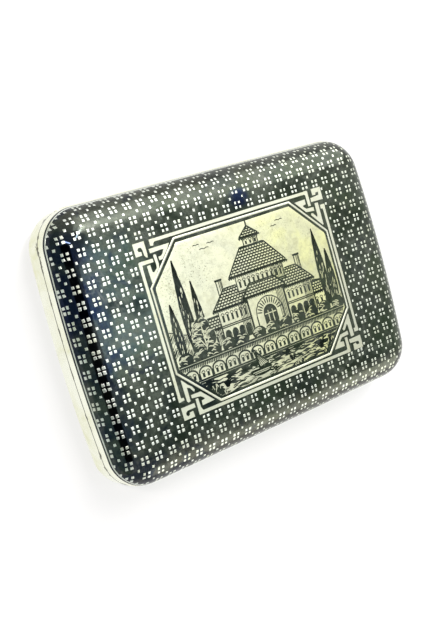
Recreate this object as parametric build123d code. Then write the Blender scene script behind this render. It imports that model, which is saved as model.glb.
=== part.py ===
from build123d import *
import os
from math import cos, radians, sin, sqrt

# A pillow-shaped tobacco case of sheet silver, lying on its flat back with the lid closed.
# X runs along the case, the hinge is on the +Y long side, the catch on the -Y long side,
# and Z = 0 is the surface that the back rests on. All sizes are millimetres.

# Overall form, measured on the outside
case_length = 115.0
case_width = 80.0
side_bow = 1.7  # how far each short side bulges over the whole width
corner_radius = 11.2
base_depth = 11.2
base_edge_radius = 6.0
lid_height = 10.3
lid_edge_radius = 9.1
lid_lean = 6.0  # degrees that the lid's wall leans in
crown_radius = 1900.0  # slight doming of the lid's face
seam_gap = 0.12

# Sheet, rim strips and the upright bezel that the lid closes over
sheet = 0.8
liner_thickness = 0.7
base_liner_depth = 5.0
lid_liner_height = 3.2
bezel_thickness = 0.5
bezel_rise = 2.5
bezel_gap = 0.15  # between the bezel and the lid's rim strip
bezel_lead_in = 0.25

# Hinge
hinge_end_inset = 9.3  # the barrel runs on into the corners, where it is filed to the plan
hinge_length = case_length - 2 * hinge_end_inset
knuckle_count = 7
knuckle_radius = 1.1
knuckle_gap = 0.1  # between neighbouring knuckles, along the pin
knuckle_edge = 0.15  # broken edge at a knuckle's ends
file_margin = 0.02  # how far outside the barrel's own line its ends are filed
hinge_inset = 0.95  # axis inside the wall's outer face, so the barrel is almost flush
hinge_bevel = 50.0  # degrees from the level plane to the bevels of both walls, half the opening
channel_gap = 0.1  # between a knuckle and the channel of the other half
bearer_thickness = 0.7
pin_radius = 0.5
pin_clearance = 0.03
plug_length = 1.5
solder_margin = 0.35  # how far a knuckle's solder seam stays from the axis planes

# Snap catch: a push button, its collar, and a flat spring with a bevelled tooth
button_length = 7.0
button_height = 2.6
button_proud = 0.3  # beyond the wall when pressed
button_travel = 0.6
button_drop = 3.0  # from the base's rim down to the button's middle
button_edge = 0.4
collar_width = 0.7
collar_proud = 0.35
collar_gap = 0.1
stem_radius = 0.8
stem_gap = 0.05
clip_radius = 1.25
clip_thickness = 0.3
clip_hole_gap = 0.15
spring_length = 44.0
spring_height = 2.4
spring_thickness = 0.35
tongue_width = 5.0
tooth_width = 4.4
tooth_height = 0.9
tooth_reach = 0.35  # how far the tooth hooks over the lid's rim strip
tooth_gap = 0.1
keeper_lip = 0.7  # height of the lip under the keeper notch
window_gap = 0.3
rivet_radius = 0.5
rivet_head_radius = 1.0
rivet_head_height = 0.45
rivet_inset = 3.0  # from the spring's end

# Places that follow from the sizes
rim_z = base_depth
mouth_z = rim_z + seam_gap
axis_y = case_width / 2 - hinge_inset
axis_z = rim_z + seam_gap / 2
channel_radius = knuckle_radius + channel_gap
bearer_radius = channel_radius + bearer_thickness
bore_radius = pin_radius + pin_clearance
knuckle_pitch = hinge_length / knuckle_count
barrel_proud = knuckle_radius - hinge_inset
hinge_notch = hinge_length + 2 * knuckle_gap
bezel_outside = sheet + liner_thickness
bezel_inside = bezel_outside + bezel_thickness
lid_liner_inside = bezel_outside - bezel_gap
front_y = -case_width / 2
button_z = rim_z - button_drop
tooth_z = mouth_z + keeper_lip + tooth_gap


def outline(inset=0.0):
    """Plan of the case moved inwards: straight long sides, short sides that are wide arcs."""
    half_width = case_width / 2 - inset
    bow_radius = ((case_width / 2) ** 2 + side_bow**2) / (2 * side_bow)
    bow_centre = case_length / 2 - bow_radius
    corner_x = bow_centre + sqrt((bow_radius - inset) ** 2 - half_width**2)
    middle_x = case_length / 2 - inset
    right = ThreePointArc((corner_x, -half_width), (middle_x, 0), (corner_x, half_width))
    left = ThreePointArc((-corner_x, half_width), (-middle_x, 0), (-corner_x, -half_width))
    top = Line((corner_x, half_width), (-corner_x, half_width))
    bottom = Line((-corner_x, -half_width), (corner_x, -half_width))
    plan = make_face([right, top, left, bottom])
    return fillet(plan.vertices(), corner_radius - inset)


def slab(inset, low, high):
    """The plan, moved inwards, as an upright block between two heights."""
    return extrude(Pos(0, 0, low) * outline(inset), high - low)


def lid_form(inset=0.0):
    """The lid as a filled form: leaning wall, rolled edge and crowned top, moved inwards."""
    walls = extrude(Pos(0, 0, mouth_z) * outline(inset), lid_height + sheet, taper=lid_lean)
    ball = Rot(0, 90, 0) * Sphere(crown_radius - inset)
    form = walls & (Pos(0, 0, mouth_z + lid_height - crown_radius) * ball)
    face = form.faces().sort_by(Axis.Z)[-1]
    return fillet(face.edges(), lid_edge_radius - inset)


def base_form(inset=0.0):
    """The base as a filled form: upright wall, rolled edge and flat back, moved inwards."""
    form = slab(inset, inset, rim_z)
    back = form.faces().sort_by(Axis.Z)[0]
    return fillet(back.edges(), base_edge_radius - inset)


def along_hinge(radius, length):
    """A round bar on the hinge's axis."""
    return Pos(0, axis_y, axis_z) * Rot(0, 90, 0) * Cylinder(radius, length)


def hinge_side(length, depth):
    """A block that takes a strip away where the hinge stands."""
    return Pos(0, axis_y, axis_z) * Box(length, 2 * depth, 4 * base_depth)


def through_front(radius, near, far, x, z):
    """A round bar square to the front wall, from one inset to another."""
    bar = Cylinder(radius, far - near, align=(Align.CENTER, Align.CENTER, Align.MIN))
    return Pos(x, front_y + near, z) * Rot(-90, 0, 0) * bar


def oval(length, height, near, far):
    """A block with round ends, square to the front wall, from one inset to another."""
    front = Plane(origin=(0, front_y + near, button_z), x_dir=(1, 0, 0), z_dir=(0, 1, 0))
    return extrude(front * SlotOverall(length, height), far - near)


def block_at_front(width, near, far, low, high):
    """A box on the case's middle plane, from one inset to another and between two heights."""
    middle = (0, front_y + (near + far) / 2, (low + high) / 2)
    return Pos(*middle) * Box(width, far - near, high - low)


# Outer shells, each cut away in a channel for the hinge's barrel, with bevelled edges outside it
bevel_reach = 2 * sheet + channel_radius
bevel_y = bevel_reach * cos(radians(hinge_bevel))
bevel_z = bevel_reach * sin(radians(hinge_bevel))
wedge = make_face(Polyline((0, 0), (bevel_y, bevel_z), (bevel_y, -bevel_z), close=True))
wedge_end = Plane(origin=(-case_length / 2, axis_y, axis_z), x_dir=(0, 1, 0), z_dir=(1, 0, 0))
channel = along_hinge(channel_radius, hinge_notch) + extrude(wedge_end * wedge, case_length)
button_hole = oval(button_length + 2 * collar_gap, button_height + 2 * collar_gap, -sheet, 2 * sheet)
stem_hole = through_front(stem_radius + stem_gap, 0, bezel_outside, 0, button_z)
clip_hole = through_front(clip_radius + clip_hole_gap, bezel_outside, bezel_inside + sheet, 0, button_z)
lid_inside = lid_form(sheet)
base_inside = base_form(sheet)
lid_cover = lid_form() - lid_inside - channel
base_pan = base_form() - base_inside - channel - button_hole


# Rim strips inside both mouths, and the bezel that stands up inside the lid
strip_break = hinge_side(hinge_notch, bearer_radius + sheet)
base_strip_zone = slab(sheet, rim_z - base_liner_depth, rim_z)
base_rim_liner = base_strip_zone - slab(bezel_outside, 0, rim_z) - strip_break - stem_hole
lid_strip_zone = lid_inside & slab(0, mouth_z, mouth_z + lid_liner_height)
keeper_notch = block_at_front(
    tooth_width + 2 * window_gap,
    sheet,
    bezel_outside,
    mouth_z + keeper_lip,
    tooth_z + tooth_height + tooth_gap,
)
lid_rim_liner = (
    lid_strip_zone
    - slab(lid_liner_inside, mouth_z, mouth_z + lid_liner_height)
    - strip_break
    - keeper_notch
)
bezel_strip = slab(bezel_outside, rim_z - base_liner_depth, rim_z + bezel_rise)
bezel_strip = chamfer(bezel_strip.faces().sort_by(Axis.Z)[-1].edges(), bezel_lead_in)
tooth_window = block_at_front(
    tooth_width + 2 * window_gap,
    0,
    bezel_inside + sheet,
    tooth_z - window_gap,
    tooth_z + tooth_height + window_gap,
)
rivet_x = spring_length / 2 - rivet_inset
rivet_holes = [through_front(rivet_radius, 0, 2 * bezel_inside, side * rivet_x, button_z) for side in (-1, 1)]
base_bezel = (
    bezel_strip
    - slab(bezel_inside, 0, 2 * rim_z)
    - hinge_side(hinge_notch + 2 * bezel_inside, bearer_radius + sheet)
    - clip_hole
    - tooth_window
    - rivet_holes[0]
    - rivet_holes[1]
)


# Hinge bearers: quarter gutters against the inside of each shell, behind the knuckles
gutter = along_hinge(bearer_radius, hinge_length) - along_hinge(channel_radius, hinge_length)
lid_hinge_bearer = gutter & lid_inside
base_hinge_bearer = gutter & base_inside


def knuckle(index, side):
    """One tube of the hinge with its solder seam; side is 1 for the lid and -1 for the base."""
    quarter = Rectangle(2 * channel_radius, 2 * channel_radius)
    seam_middle = channel_radius + solder_margin
    seam = Circle(channel_radius) & (Pos(-side * seam_middle, -seam_middle) * quarter)
    section = Circle(knuckle_radius) + seam - Circle(bore_radius)
    start = -hinge_length / 2 + index * knuckle_pitch + knuckle_gap / 2
    face = Plane(origin=(start, axis_y, axis_z), x_dir=(0, 0, -1), z_dir=(1, 0, 0)) * section
    tube = extrude(face, knuckle_pitch - knuckle_gap)
    bar = along_hinge(channel_radius, knuckle_pitch - knuckle_gap)
    bar = Pos(start + (knuckle_pitch - knuckle_gap) / 2, 0, 0) * bar
    tube = tube & chamfer(bar.edges().filter_by(GeomType.CIRCLE), channel_gap + knuckle_edge)
    return tube & slab(-barrel_proud - file_margin, 0, 2 * rim_z)


knuckles = {}
for index in range(knuckle_count):
    side = 1 if index % 2 else -1
    name = "lid_knuckle" if side == 1 else "base_knuckle"
    knuckles[f"{name}_{index // 2 + 1}"] = knuckle(index, side)

pin_length = hinge_length - knuckle_gap - 2 * plug_length
hinge_pin = along_hinge(pin_radius, pin_length)
plug_x = (pin_length + plug_length) / 2
hinge_plugs = [Pos(side * plug_x, 0, 0) * along_hinge(bore_radius, plug_length) for side in (-1, 1)]


# Catch: the leaf lies on the bezel, its tongue carries the tooth up through the window
leaf = block_at_front(
    spring_length,
    bezel_inside,
    bezel_inside + spring_thickness,
    button_z - spring_height / 2,
    button_z + spring_height / 2,
)
tongue = block_at_front(
    tongue_width,
    bezel_inside,
    bezel_inside + spring_thickness,
    button_z,
    tooth_z + tooth_height,
)
tooth_tip = lid_liner_inside - tooth_reach
tooth_root = bezel_inside + spring_thickness / 2
tooth_profile = Polyline(
    (front_y + tooth_root, tooth_z),
    (front_y + tooth_tip, tooth_z),
    (front_y + tooth_tip, tooth_z + tooth_height / 4),
    (front_y + bezel_inside, tooth_z + tooth_height),
    (front_y + tooth_root, tooth_z + tooth_height),
    close=True,
)
tooth_face = Plane(origin=(-tooth_width / 2, 0, 0), x_dir=(0, 1, 0), z_dir=(1, 0, 0)) * make_face(tooth_profile)
catch_spring = leaf + tongue + extrude(tooth_face, tooth_width) - rivet_holes[0] - rivet_holes[1]


def rivet(side):
    """A rivet that holds one end of the leaf on the bezel, with a domed head inside."""
    x = side * rivet_x
    shank = through_front(rivet_radius, bezel_outside, bezel_inside + spring_thickness, x, button_z)
    head_base = bezel_inside + spring_thickness
    head = through_front(rivet_head_radius, head_base, head_base + rivet_head_height, x, button_z)
    head = fillet(head.faces().sort_by(Axis.Y)[-1].edges(), rivet_head_height * 0.8)
    return shank + head


button_back = sheet - button_travel - stem_gap  # the head slides in the wall's oval hole
button_head = oval(button_length, button_height, -button_proud - button_travel, button_back)
button_head = fillet(button_head.faces().sort_by(Axis.Y)[0].edges(), button_edge)
stem = through_front(stem_radius, button_back, bezel_inside - stem_gap, 0, button_z)
push_button = button_head + stem
collar_length = button_length + 2 * (collar_gap + collar_width)
collar_height = button_height + 2 * (collar_gap + collar_width)
button_collar = oval(collar_length, collar_height, -collar_proud, 0) - oval(
    button_length + 2 * collar_gap, button_height + 2 * collar_gap, -collar_proud, 0
)
clip_near = bezel_outside + stem_gap
button_clip = through_front(clip_radius, clip_near, clip_near + clip_thickness, 0, button_z) - stem

nodes = {
    "lid_cover": lid_cover,
    "lid_rim_liner": lid_rim_liner,
    "lid_hinge_bearer": lid_hinge_bearer,
    "base_pan": base_pan,
    "base_rim_liner": base_rim_liner,
    "base_bezel": base_bezel,
    "base_hinge_bearer": base_hinge_bearer,
    "hinge_pin": hinge_pin,
    "hinge_plug_left": hinge_plugs[0],
    "hinge_plug_right": hinge_plugs[1],
    "catch_spring": catch_spring,
    "spring_rivet_left": rivet(-1),
    "spring_rivet_right": rivet(1),
    "push_button": push_button,
    "button_collar": button_collar,
    "button_clip": button_clip,
    **knuckles,
}

os.makedirs("parts", exist_ok=True)
for name, shape in nodes.items():
    export_step(shape, f"parts/{name}.step")
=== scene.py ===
"""A niello tobacco case: its looks, built round the packed model.

Lengths are metres, and millimetres where a comment says so.
"""

import math

import bpy
import numpy as np
from bpy.props import FloatProperty, FloatVectorProperty, IntProperty, PointerProperty
from bpy.types import Operator, Panel, PropertyGroup
from mathutils import Matrix, Vector


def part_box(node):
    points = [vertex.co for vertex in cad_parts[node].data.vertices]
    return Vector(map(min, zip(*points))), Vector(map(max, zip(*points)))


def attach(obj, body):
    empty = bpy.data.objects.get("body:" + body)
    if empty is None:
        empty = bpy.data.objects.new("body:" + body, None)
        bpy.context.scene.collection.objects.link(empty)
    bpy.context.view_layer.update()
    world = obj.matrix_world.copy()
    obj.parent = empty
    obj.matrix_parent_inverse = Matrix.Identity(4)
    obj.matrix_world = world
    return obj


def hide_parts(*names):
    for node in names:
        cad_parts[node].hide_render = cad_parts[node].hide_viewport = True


bl_info = {
    "name": "Niello tobacco case",
    "version": (1, 0, 0),
    "blender": (4, 5, 0),
    "location": "View3D > Sidebar > Case",
    "description": "Builds the lid, the inlay, the finishes and the stage of a niello tobacco case",
    "category": "Object",
}

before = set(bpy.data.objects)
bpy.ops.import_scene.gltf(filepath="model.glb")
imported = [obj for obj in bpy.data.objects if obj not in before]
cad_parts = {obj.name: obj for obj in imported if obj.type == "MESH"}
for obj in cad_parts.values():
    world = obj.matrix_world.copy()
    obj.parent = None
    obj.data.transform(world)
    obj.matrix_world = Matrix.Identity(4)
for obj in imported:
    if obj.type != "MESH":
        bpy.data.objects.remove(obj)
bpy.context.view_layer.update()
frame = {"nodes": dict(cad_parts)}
nodes = frame["nodes"]
pan_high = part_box("base_pan")[1]
cover_low, cover_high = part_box("lid_cover")
pin_low, pin_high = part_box("hinge_pin")

MM = 0.001
HINGE_Y = (pin_low.y + pin_high.y) / 2
HINGE_Z = (pin_low.z + pin_high.z) / 2
SEAM_Z = (pan_high.z + cover_low.z) / 2
SLOPE = 0.03 * MM  # how far the side of an inlay slopes outwards
CUT_SLOPE = 0.02 * MM  # the same for an engraved line
PAST_ROLL = 0.1 * MM  # how far inside the roll the height of the face is read
FIELD_ROW = 9  # which row of the lid's skin lies where the niello starts


def setting(kind, **fixed):
    """A maker of settings of one kind, each with its name, its description and its default."""
    return lambda name, text, value: kind(name=name, description=text, default=value, **fixed)


length = setting(FloatProperty, unit="LENGTH", subtype="DISTANCE", precision=5)
angle = setting(FloatProperty, unit="ROTATION", subtype="ANGLE")
share = setting(FloatProperty, min=0, max=1, subtype="FACTOR")
power = setting(FloatProperty, min=0, unit="POWER")
colour = setting(FloatVectorProperty, size=3, min=0, max=1, subtype="COLOR")


class CaseForm(PropertyGroup):
    """Sizes of the lid's shell, which are those of the CAD part."""

    half_length: length("Half length", "Middle to the end of a bowed short side", cover_high.x)
    half_width: length("Half width", "Middle to a straight long side", pan_high.y)
    side_bow: length("Side bow", "How far a short side bulges over the whole width", 1.7 * MM)
    corner_radius: length("Corner radius", "Radius of the plan's corners", 11.2 * MM)
    mouth: length("Mouth", "Height of the lid's mouth above the table", cover_low.z)
    height: length("Lid height", "Mouth to the top of the lid", cover_high.z - cover_low.z)
    edge_radius: length("Edge roll", "Radius of the roll from wall to face", 9.1 * MM)
    lean: angle("Wall lean", "How far the wall leans in", math.radians(6))
    crown_radius: length("Crown radius", "Radius of the face's slight dome", 1900 * MM)
    sheet: length("Sheet", "Thickness of the silver", 0.8 * MM)
    mouth_edge: length("Mouth edge", "Rounding of the mouth's outer edge", 0.12 * MM)
    channel_radius: length("Channel radius", "Channel for the hinge's barrel", 1.2 * MM)
    channel_half: length("Channel half length", "Middle to the end of the hinge's channel", 48.3 * MM)
    bevel: angle("Hinge bevel", "Wall's bevel above the barrel, from the level plane", math.radians(50))


class Ornament(PropertyGroup):
    """Sizes of the niello and of the silver left standing in it."""

    field_height: length("Field height", "Height above the mouth where the niello starts", 2.68 * MM)
    corner_rise: length("Corner rise", "How much higher the niello starts at the corners", 0.25 * MM)
    border_gap: length("Border gap", "Niello line under the thin silver line", 0.68 * MM)
    border_line: length("Border line", "Width of the thin silver line", 0.42 * MM)
    pitch_along: length("Pitch along", "Distance of the crosses along the case", 4.304 * MM)
    pitch_across: length("Pitch across", "Distance of the crosses across the case", 4.49 * MM)
    first_along: length("First cross along", "A cross's offset from the middle, lengthwise", 2.95 * MM)
    first_across: length("First cross across", "A cross's offset from the middle, sideways", 0.05 * MM)
    row_drift: length("Row drift", "How far the long rows beside the frame are off their line", 0.45 * MM)
    square: length("Square", "Side of one of a cross's four squares", 0.7 * MM)
    dot: length("Single square", "Side of the squares between the crosses", 0.62 * MM)
    spread: length("Spread", "Middle of a cross to the middle of its squares", 0.69 * MM)
    wander: length("Wander", "How unevenly the squares were cut by hand", 0.06 * MM)
    relief: length("Relief", "How far the silver stands above the niello", 0.03 * MM)
    bar: length("Frame bar", "Width of the frame's outer bars", 0.88 * MM)
    fine_bar: length("Fine bar", "Width of the eight-sided line", 0.56 * MM)
    burin: length("Burin line", "Width of an engraved line in the picture", 0.26 * MM)
    seed: IntProperty(name="Seed", description="Which hand-made unevenness is drawn", default=11, min=0)


class Finish(PropertyGroup):
    """Colours of the metals, and their scratches."""

    silver: colour("Silver", "Polished silver", (0.93, 0.94, 0.80))
    tarnish: colour("Tarnish", "Warm film on the silver", (0.78, 0.78, 0.50))
    inlay: colour("Inlay", "Silver squares in the niello", (0.66, 0.69, 0.63))
    frame: colour("Frame", "Silver of the frame", (0.56, 0.57, 0.46))
    panel: colour("Panel", "Silver ground of the picture", (0.56, 0.565, 0.45))
    niello: colour("Niello", "What the dark sulphide filling mirrors head on", (0.066, 0.066, 0.066))
    gilt: colour("Gilt", "Gilded inside", (0.70, 0.47, 0.17))
    spring: colour("Spring", "Tempered strip", (0.42, 0.40, 0.37))
    scratches: share("Scratches", "Strength of the fine scratches", 0.35)


class StageSettings(PropertyGroup):
    """Floor and light."""

    floor: colour("Floor", "Colour of the floor", (0.86, 0.86, 0.85))
    fill: share("Fill", "Strength of the room's soft light", 0.42)
    window: power("Window", "Power of the large soft lamp", 13.0)
    skylight: power("Skylight", "Power of the soft lamp above", 1.25)
    tube: power("Tube", "Power of the long thin lamp above", 2.0)
    bounce: power("Bounce", "Power of the low soft lamp", 3.4)


# Shape of the lid


def bow(form):
    """Radius and centre distance of a short side's arc: the arc over the width rises by side_bow."""
    radius = (form.half_width**2 + form.side_bow**2) / (2 * form.side_bow)
    return radius, form.half_length - radius


def corner_centre(form):
    """Middle of a corner's arc, at equal distance inside the long side and the bowed side."""
    radius, centre = bow(form)
    y = form.half_width - form.corner_radius
    return centre + math.sqrt((radius - form.corner_radius) ** 2 - y**2), y


def inset_at(form, x, y):
    """Distance from a plan point in to the outline, and the outward direction there.

    The least distance to the long side, the bowed side's arc or the corner's arc.
    """
    px, py = np.abs(x), np.abs(y)
    radius, centre = bow(form)
    cx, cy = corner_centre(form)
    from_bow = np.hypot(px - centre, py)
    from_corner = np.maximum(np.hypot(px - cx, py - cy), 1e-9)
    long_side, short_side = form.half_width - py, radius - from_bow
    in_corner = (px > cx) & ((cx - centre) * (py - cy) - (px - cx) * cy > 0)
    straight = long_side < short_side
    depth = np.where(in_corner, form.corner_radius - from_corner, np.minimum(long_side, short_side))
    nx = np.where(in_corner, (px - cx) / from_corner, np.where(straight, 0, (px - centre) / from_bow))
    ny = np.where(in_corner, (py - cy) / from_corner, np.where(straight, 1, py / from_bow))
    return depth, np.sign(x) * nx, np.sign(y) * ny


def crown_drop(form, x, y):
    """Fall of the crowned face below its highest point: a sphere's height over the plan."""
    return form.crown_radius - np.sqrt(form.crown_radius**2 - x**2 - y**2)


def lid_height_at(form, x, y):
    """Height above the mouth: a leaning wall, then a quarter roll that ends on the crown's sphere."""
    depth, nx, ny = inset_at(form, x, y)
    back = np.clip(form.edge_radius + PAST_ROLL - depth, 0, None)
    top = form.height - crown_drop(form, x - nx * back, y - ny * back)
    wall = (top - form.edge_radius * (1 - math.sin(form.lean))) * math.tan(form.lean)
    run = np.clip(wall + form.edge_radius * math.cos(form.lean) - depth, 0, None)
    roll = top - form.edge_radius + np.sqrt(np.clip(form.edge_radius**2 - run**2, 0, None))
    return np.where(depth < wall, np.clip(depth, 0, None) / math.tan(form.lean), roll)


def on_lid(form, x, y, lift):
    """Points over the lid: plan point and height, moved by lift along the slope's normal."""
    step = 0.01 * MM
    slope_x = (lid_height_at(form, x + step, y) - lid_height_at(form, x - step, y)) / (2 * step)
    slope_y = (lid_height_at(form, x, y + step) - lid_height_at(form, x, y - step)) / (2 * step)
    normal = np.stack([-slope_x, -slope_y, np.ones_like(slope_x)], -1)
    normal /= np.linalg.norm(normal, axis=-1, keepdims=True)
    place = np.stack([x, y, form.mouth + lid_height_at(form, x, y)], -1)
    return place + normal * np.broadcast_to(lift, x.shape)[..., None]


def plan_columns(form):
    """Outline points and outward normals, once round from the middle of the hinged side.

    A quarter is half a long side, a corner arc and half a bowed side. Two columns a hair apart stand at
    the end of the hinge's channel in the corner, so its ends are upright.
    """
    radius, centre = bow(form)
    cx, cy = corner_centre(form)
    turn = math.acos((form.channel_half - cx) / form.corner_radius)
    hair = 0.0004
    before = np.linspace(math.pi / 2, turn + hair, 5)
    corner = np.concatenate([before, np.linspace(turn - hair, math.atan2(cy, cx - centre), 22)])
    quarter = [np.column_stack([x, form.half_width, 0, 1]) for x in np.linspace(0, cx, 16)[:-1]]
    for turns, mx, my, r in (
        (corner, cx, cy, form.corner_radius),
        (np.linspace(corner[-1], 0, 9)[1:-1], centre, 0, radius),
    ):
        nx, ny = np.cos(turns), np.sin(turns)
        quarter.append(np.column_stack([mx + r * nx, my + r * ny, nx, ny]))
    quarter = np.concatenate(quarter)
    right = np.concatenate([quarter, [(form.half_length, 0, 1, 0)], quarter[::-1] * (1, -1, 1, -1)])
    loop = np.concatenate([right, right[-2:0:-1] * (-1, 1, -1, 1)])[::-1]
    return loop[:, :2], loop[:, 2:]


def channel_edge(form, outline, normals, depth):
    """Height above the mouth where the wall is cut for the hinge.

    Outside the barrel's channel, a cylinder along the case, the cut follows the bevel's plane up
    from the hinge's axis. The bevel runs on past the channel until the wall passes the axis.
    """
    z = np.zeros(len(outline))
    in_channel = np.abs(outline[:, 0]) < form.channel_half - 0.001 * MM
    for _ in range(5):
        beyond = outline[:, 1] - normals[:, 1] * (depth + z * math.tan(form.lean)) - HINGE_Y
        channel = np.sqrt(np.clip(form.channel_radius**2 - beyond**2, 0, None)) * in_channel
        cut = np.maximum(channel, np.clip(beyond, 0, None) * math.tan(form.bevel))
        z = np.where((outline[:, 1] > 0) & (cut > 0), np.clip(HINGE_Z + cut - form.mouth, 0, None), 0)
    return z


def field_edge(ornament, normals):
    """Height above the mouth where the niello starts: a little higher where both directions are equal."""
    return ornament.field_height + ornament.corner_rise * 4 * normals[:, 0] ** 2 * normals[:, 1] ** 2


def face_above(form, outline, normals):
    """Height of the face's sphere above the mouth where the roll ends, seen from the outline."""
    inner = outline - normals * (form.edge_radius + PAST_ROLL)
    return form.height - crown_drop(form, inner[:, 0], inner[:, 1])


def roll_inset(form, outline, normals, height):
    """Distance inside the outline of the lid's roll at a height above the mouth, and its turn there."""
    top = face_above(form, outline, normals)
    wall_in = (top - form.edge_radius * (1 - math.sin(form.lean))) * math.tan(form.lean)
    turn = np.arcsin(np.clip((height - top + form.edge_radius) / form.edge_radius, -1, 1))
    return wall_in + form.edge_radius * (math.cos(form.lean) - np.cos(turn)), turn


def lid_rows(form, outline, normals, depth, field):
    """Rows of the lid's surface moved inwards by depth, from the mouth to the middle.

    Wall rows rise at the lean. Roll rows turn about the roll's middle, with one row on the field's
    height. Cap rows shrink the last ring towards the middle and lie on the crown's sphere.
    """
    lean, radius = form.lean, form.edge_radius - depth
    start = channel_edge(form, outline, normals, depth)
    top = face_above(form, outline, normals) - depth
    wall_top = top - radius * (1 - math.sin(lean))
    edge = form.mouth_edge if depth == 0 else 0
    rows = []
    for t in (0, 0.3, 0.6, 1):
        rows.append((depth + start * math.tan(lean) + edge * (1 - t) ** 2, start + edge * t**2))
    for t in (0.25, 0.6, 1):
        z = start + edge + (wall_top - start - edge) * t
        rows.append((depth + z * math.tan(lean), z))
    turn_field = np.arcsin(np.clip((field - top + radius) / radius, math.sin(lean) + 0.01, 1))
    turns = [lean + (turn_field - lean) * t for t in (0.35, 0.7, 1)]
    turns += [turn_field + (math.pi / 2 - turn_field) * t for t in np.linspace(0, 1, 25)[1:]]
    wall_in = depth + wall_top * math.tan(lean)
    for turn in turns:
        inwards = wall_in + radius * (math.cos(lean) - np.cos(turn))
        rows.append((inwards, top - radius + radius * np.sin(turn)))
    points = [np.column_stack([outline - normals * d[:, None], form.mouth + z]) for d, z in rows]
    ring = points[-1][:, :2]
    for t in np.linspace(1, 0, 16)[1:-1]:
        drop = crown_drop(form, *(ring * t).T)
        points.append(np.column_stack([ring * t, form.mouth + form.height - depth - drop]))
    return np.array(points)


# Mesh makers


def add_object(name, points, faces, materials, slots=None, smooth=True):
    """Puts points and faces into a new mesh object that rides on the lid."""
    mesh = bpy.data.meshes.new(name)
    mesh.from_pydata(np.asarray(points).reshape(-1, 3).tolist(), [], [list(map(int, f)) for f in faces])
    for material in materials:
        mesh.materials.append(material)
    if slots is not None:
        mesh.polygons.foreach_set("material_index", np.asarray(slots, dtype=np.int32))
    mesh.polygons.foreach_set("use_smooth", np.full(len(mesh.polygons), smooth))
    mesh.update()
    piece = bpy.data.objects.new(name, mesh)
    bpy.context.scene.collection.objects.link(piece)
    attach(piece, "lid")
    return piece


def grid_faces(index):
    """Quads between the neighbours of a grid of point numbers."""
    return np.stack([index[:-1, :-1], index[:-1, 1:], index[1:, 1:], index[1:, :-1]], -1).reshape(-1, 4)


def loop_faces(rows, columns):
    """Quads between neighbouring rings of a grid that closes on itself."""
    index = np.arange(rows * columns).reshape(rows, columns)
    return grid_faces(np.column_stack([index, index[:, :1]]))


def section(half, slope, top, low):
    """A stroke's section: a flat top and two bevels into the ground, as pairs of offset and height."""
    return (half + slope, low), (half, top), (-half, top), (-half - slope, low)


def strokes(paths, widths, keep, lift, form):
    """Raised strokes along many paths at once.

    paths is (strokes, points, 2), widths the same without the last axis. The section is set off
    sideways from the path. A stroke sinks where keep is false, and pieces with both ends sunk are
    left out.
    """
    ahead = np.gradient(paths, axis=1)
    ahead /= np.linalg.norm(ahead, axis=-1, keepdims=True) + 1e-12
    side = np.stack([-ahead[..., 1], ahead[..., 0]], -1)
    low = -0.25 * lift
    rails = []
    for reach, height in section(widths / 2, CUT_SLOPE, np.where(keep, lift, low), low):
        plan = paths + side * reach[..., None]
        rails.append(on_lid(form, plan[..., 0], plan[..., 1], height))
    index = np.arange(4 * keep.size).reshape(*keep.shape, 4)
    alive = keep[:, 1:] | keep[:, :-1]
    quads = []
    for k in range(3):
        quad = [index[:, :-1, k + 1], index[:, 1:, k + 1], index[:, 1:, k], index[:, :-1, k]]
        quads.append(np.stack(quad, -1)[alive])
    quads = np.concatenate(quads)
    used, faces = np.unique(quads, return_inverse=True)
    return np.stack(rails, 2).reshape(-1, 3)[used], faces.reshape(quads.shape)


def pads(outlines, lift, form, flat=1.0):
    """Raised flat pieces, all with the same number of corners, as (pieces, corners, 2) anticlockwise.

    The top keeps the outline and each side slopes to the outline moved outwards. With flat below 1
    the top is the outline drawn in to that share, and a shallow bevel joins the two.
    """
    along = np.roll(outlines, -1, axis=1) - np.roll(outlines, 1, axis=1)
    along /= np.linalg.norm(along, axis=-1, keepdims=True)
    out = np.stack([along[..., 1], -along[..., 0]], -1)
    rings = [(outlines, lift), (outlines + out * SLOPE, -lift / 2)]
    if flat < 1:
        middle = outlines.mean(1, keepdims=True)
        rings = [(middle + (outlines - middle) * flat, lift), (outlines, lift / 5), rings[1]]
    count, corners = outlines.shape[:2]
    points = np.concatenate([on_lid(form, plan[..., 0], plan[..., 1], high) for plan, high in rings], 1)
    base = np.arange(count)[:, None] * len(rings) * corners
    ring = np.arange(corners)
    faces = list((base + ring).tolist())
    sides = np.stack([ring, ring + corners, (ring + 1) % corners + corners, (ring + 1) % corners], -1)
    for k in range(len(rings) - 1):
        faces += (base[:, :, None] + k * corners + sides[None]).reshape(-1, 4).tolist()
    return points.reshape(-1, 3), faces


def joined(parts):
    """One set of points and faces from several."""
    faces, first = [], 0
    for points, some_faces in parts:
        faces += [[int(i) + first for i in face] for face in some_faces]
        first += len(points)
    return np.concatenate([points for points, _ in parts]), faces


def resample(corners, steps):
    """Points at even distances along a line through corners."""
    corners = np.asarray(corners, float)
    run = np.concatenate([[0], np.cumsum(np.linalg.norm(np.diff(corners, axis=0), axis=1))])
    at = np.linspace(0, run[-1], steps)
    return np.stack([np.interp(at, run, axis) for axis in corners.T], -1)


def inside(corners, x, y):
    """Whether points lie in an outline: an odd number of its sides is crossed going right."""
    corners = np.asarray(corners, float)
    odd = np.zeros(np.shape(x), bool)
    for (x1, y1), (x2, y2) in zip(corners, np.roll(corners, -1, axis=0)):
        if y1 != y2:
            odd ^= ((y1 > y) != (y2 > y)) & (x < x1 + (y - y1) * (x2 - x1) / (y2 - y1))
    return odd


# Materials


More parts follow.
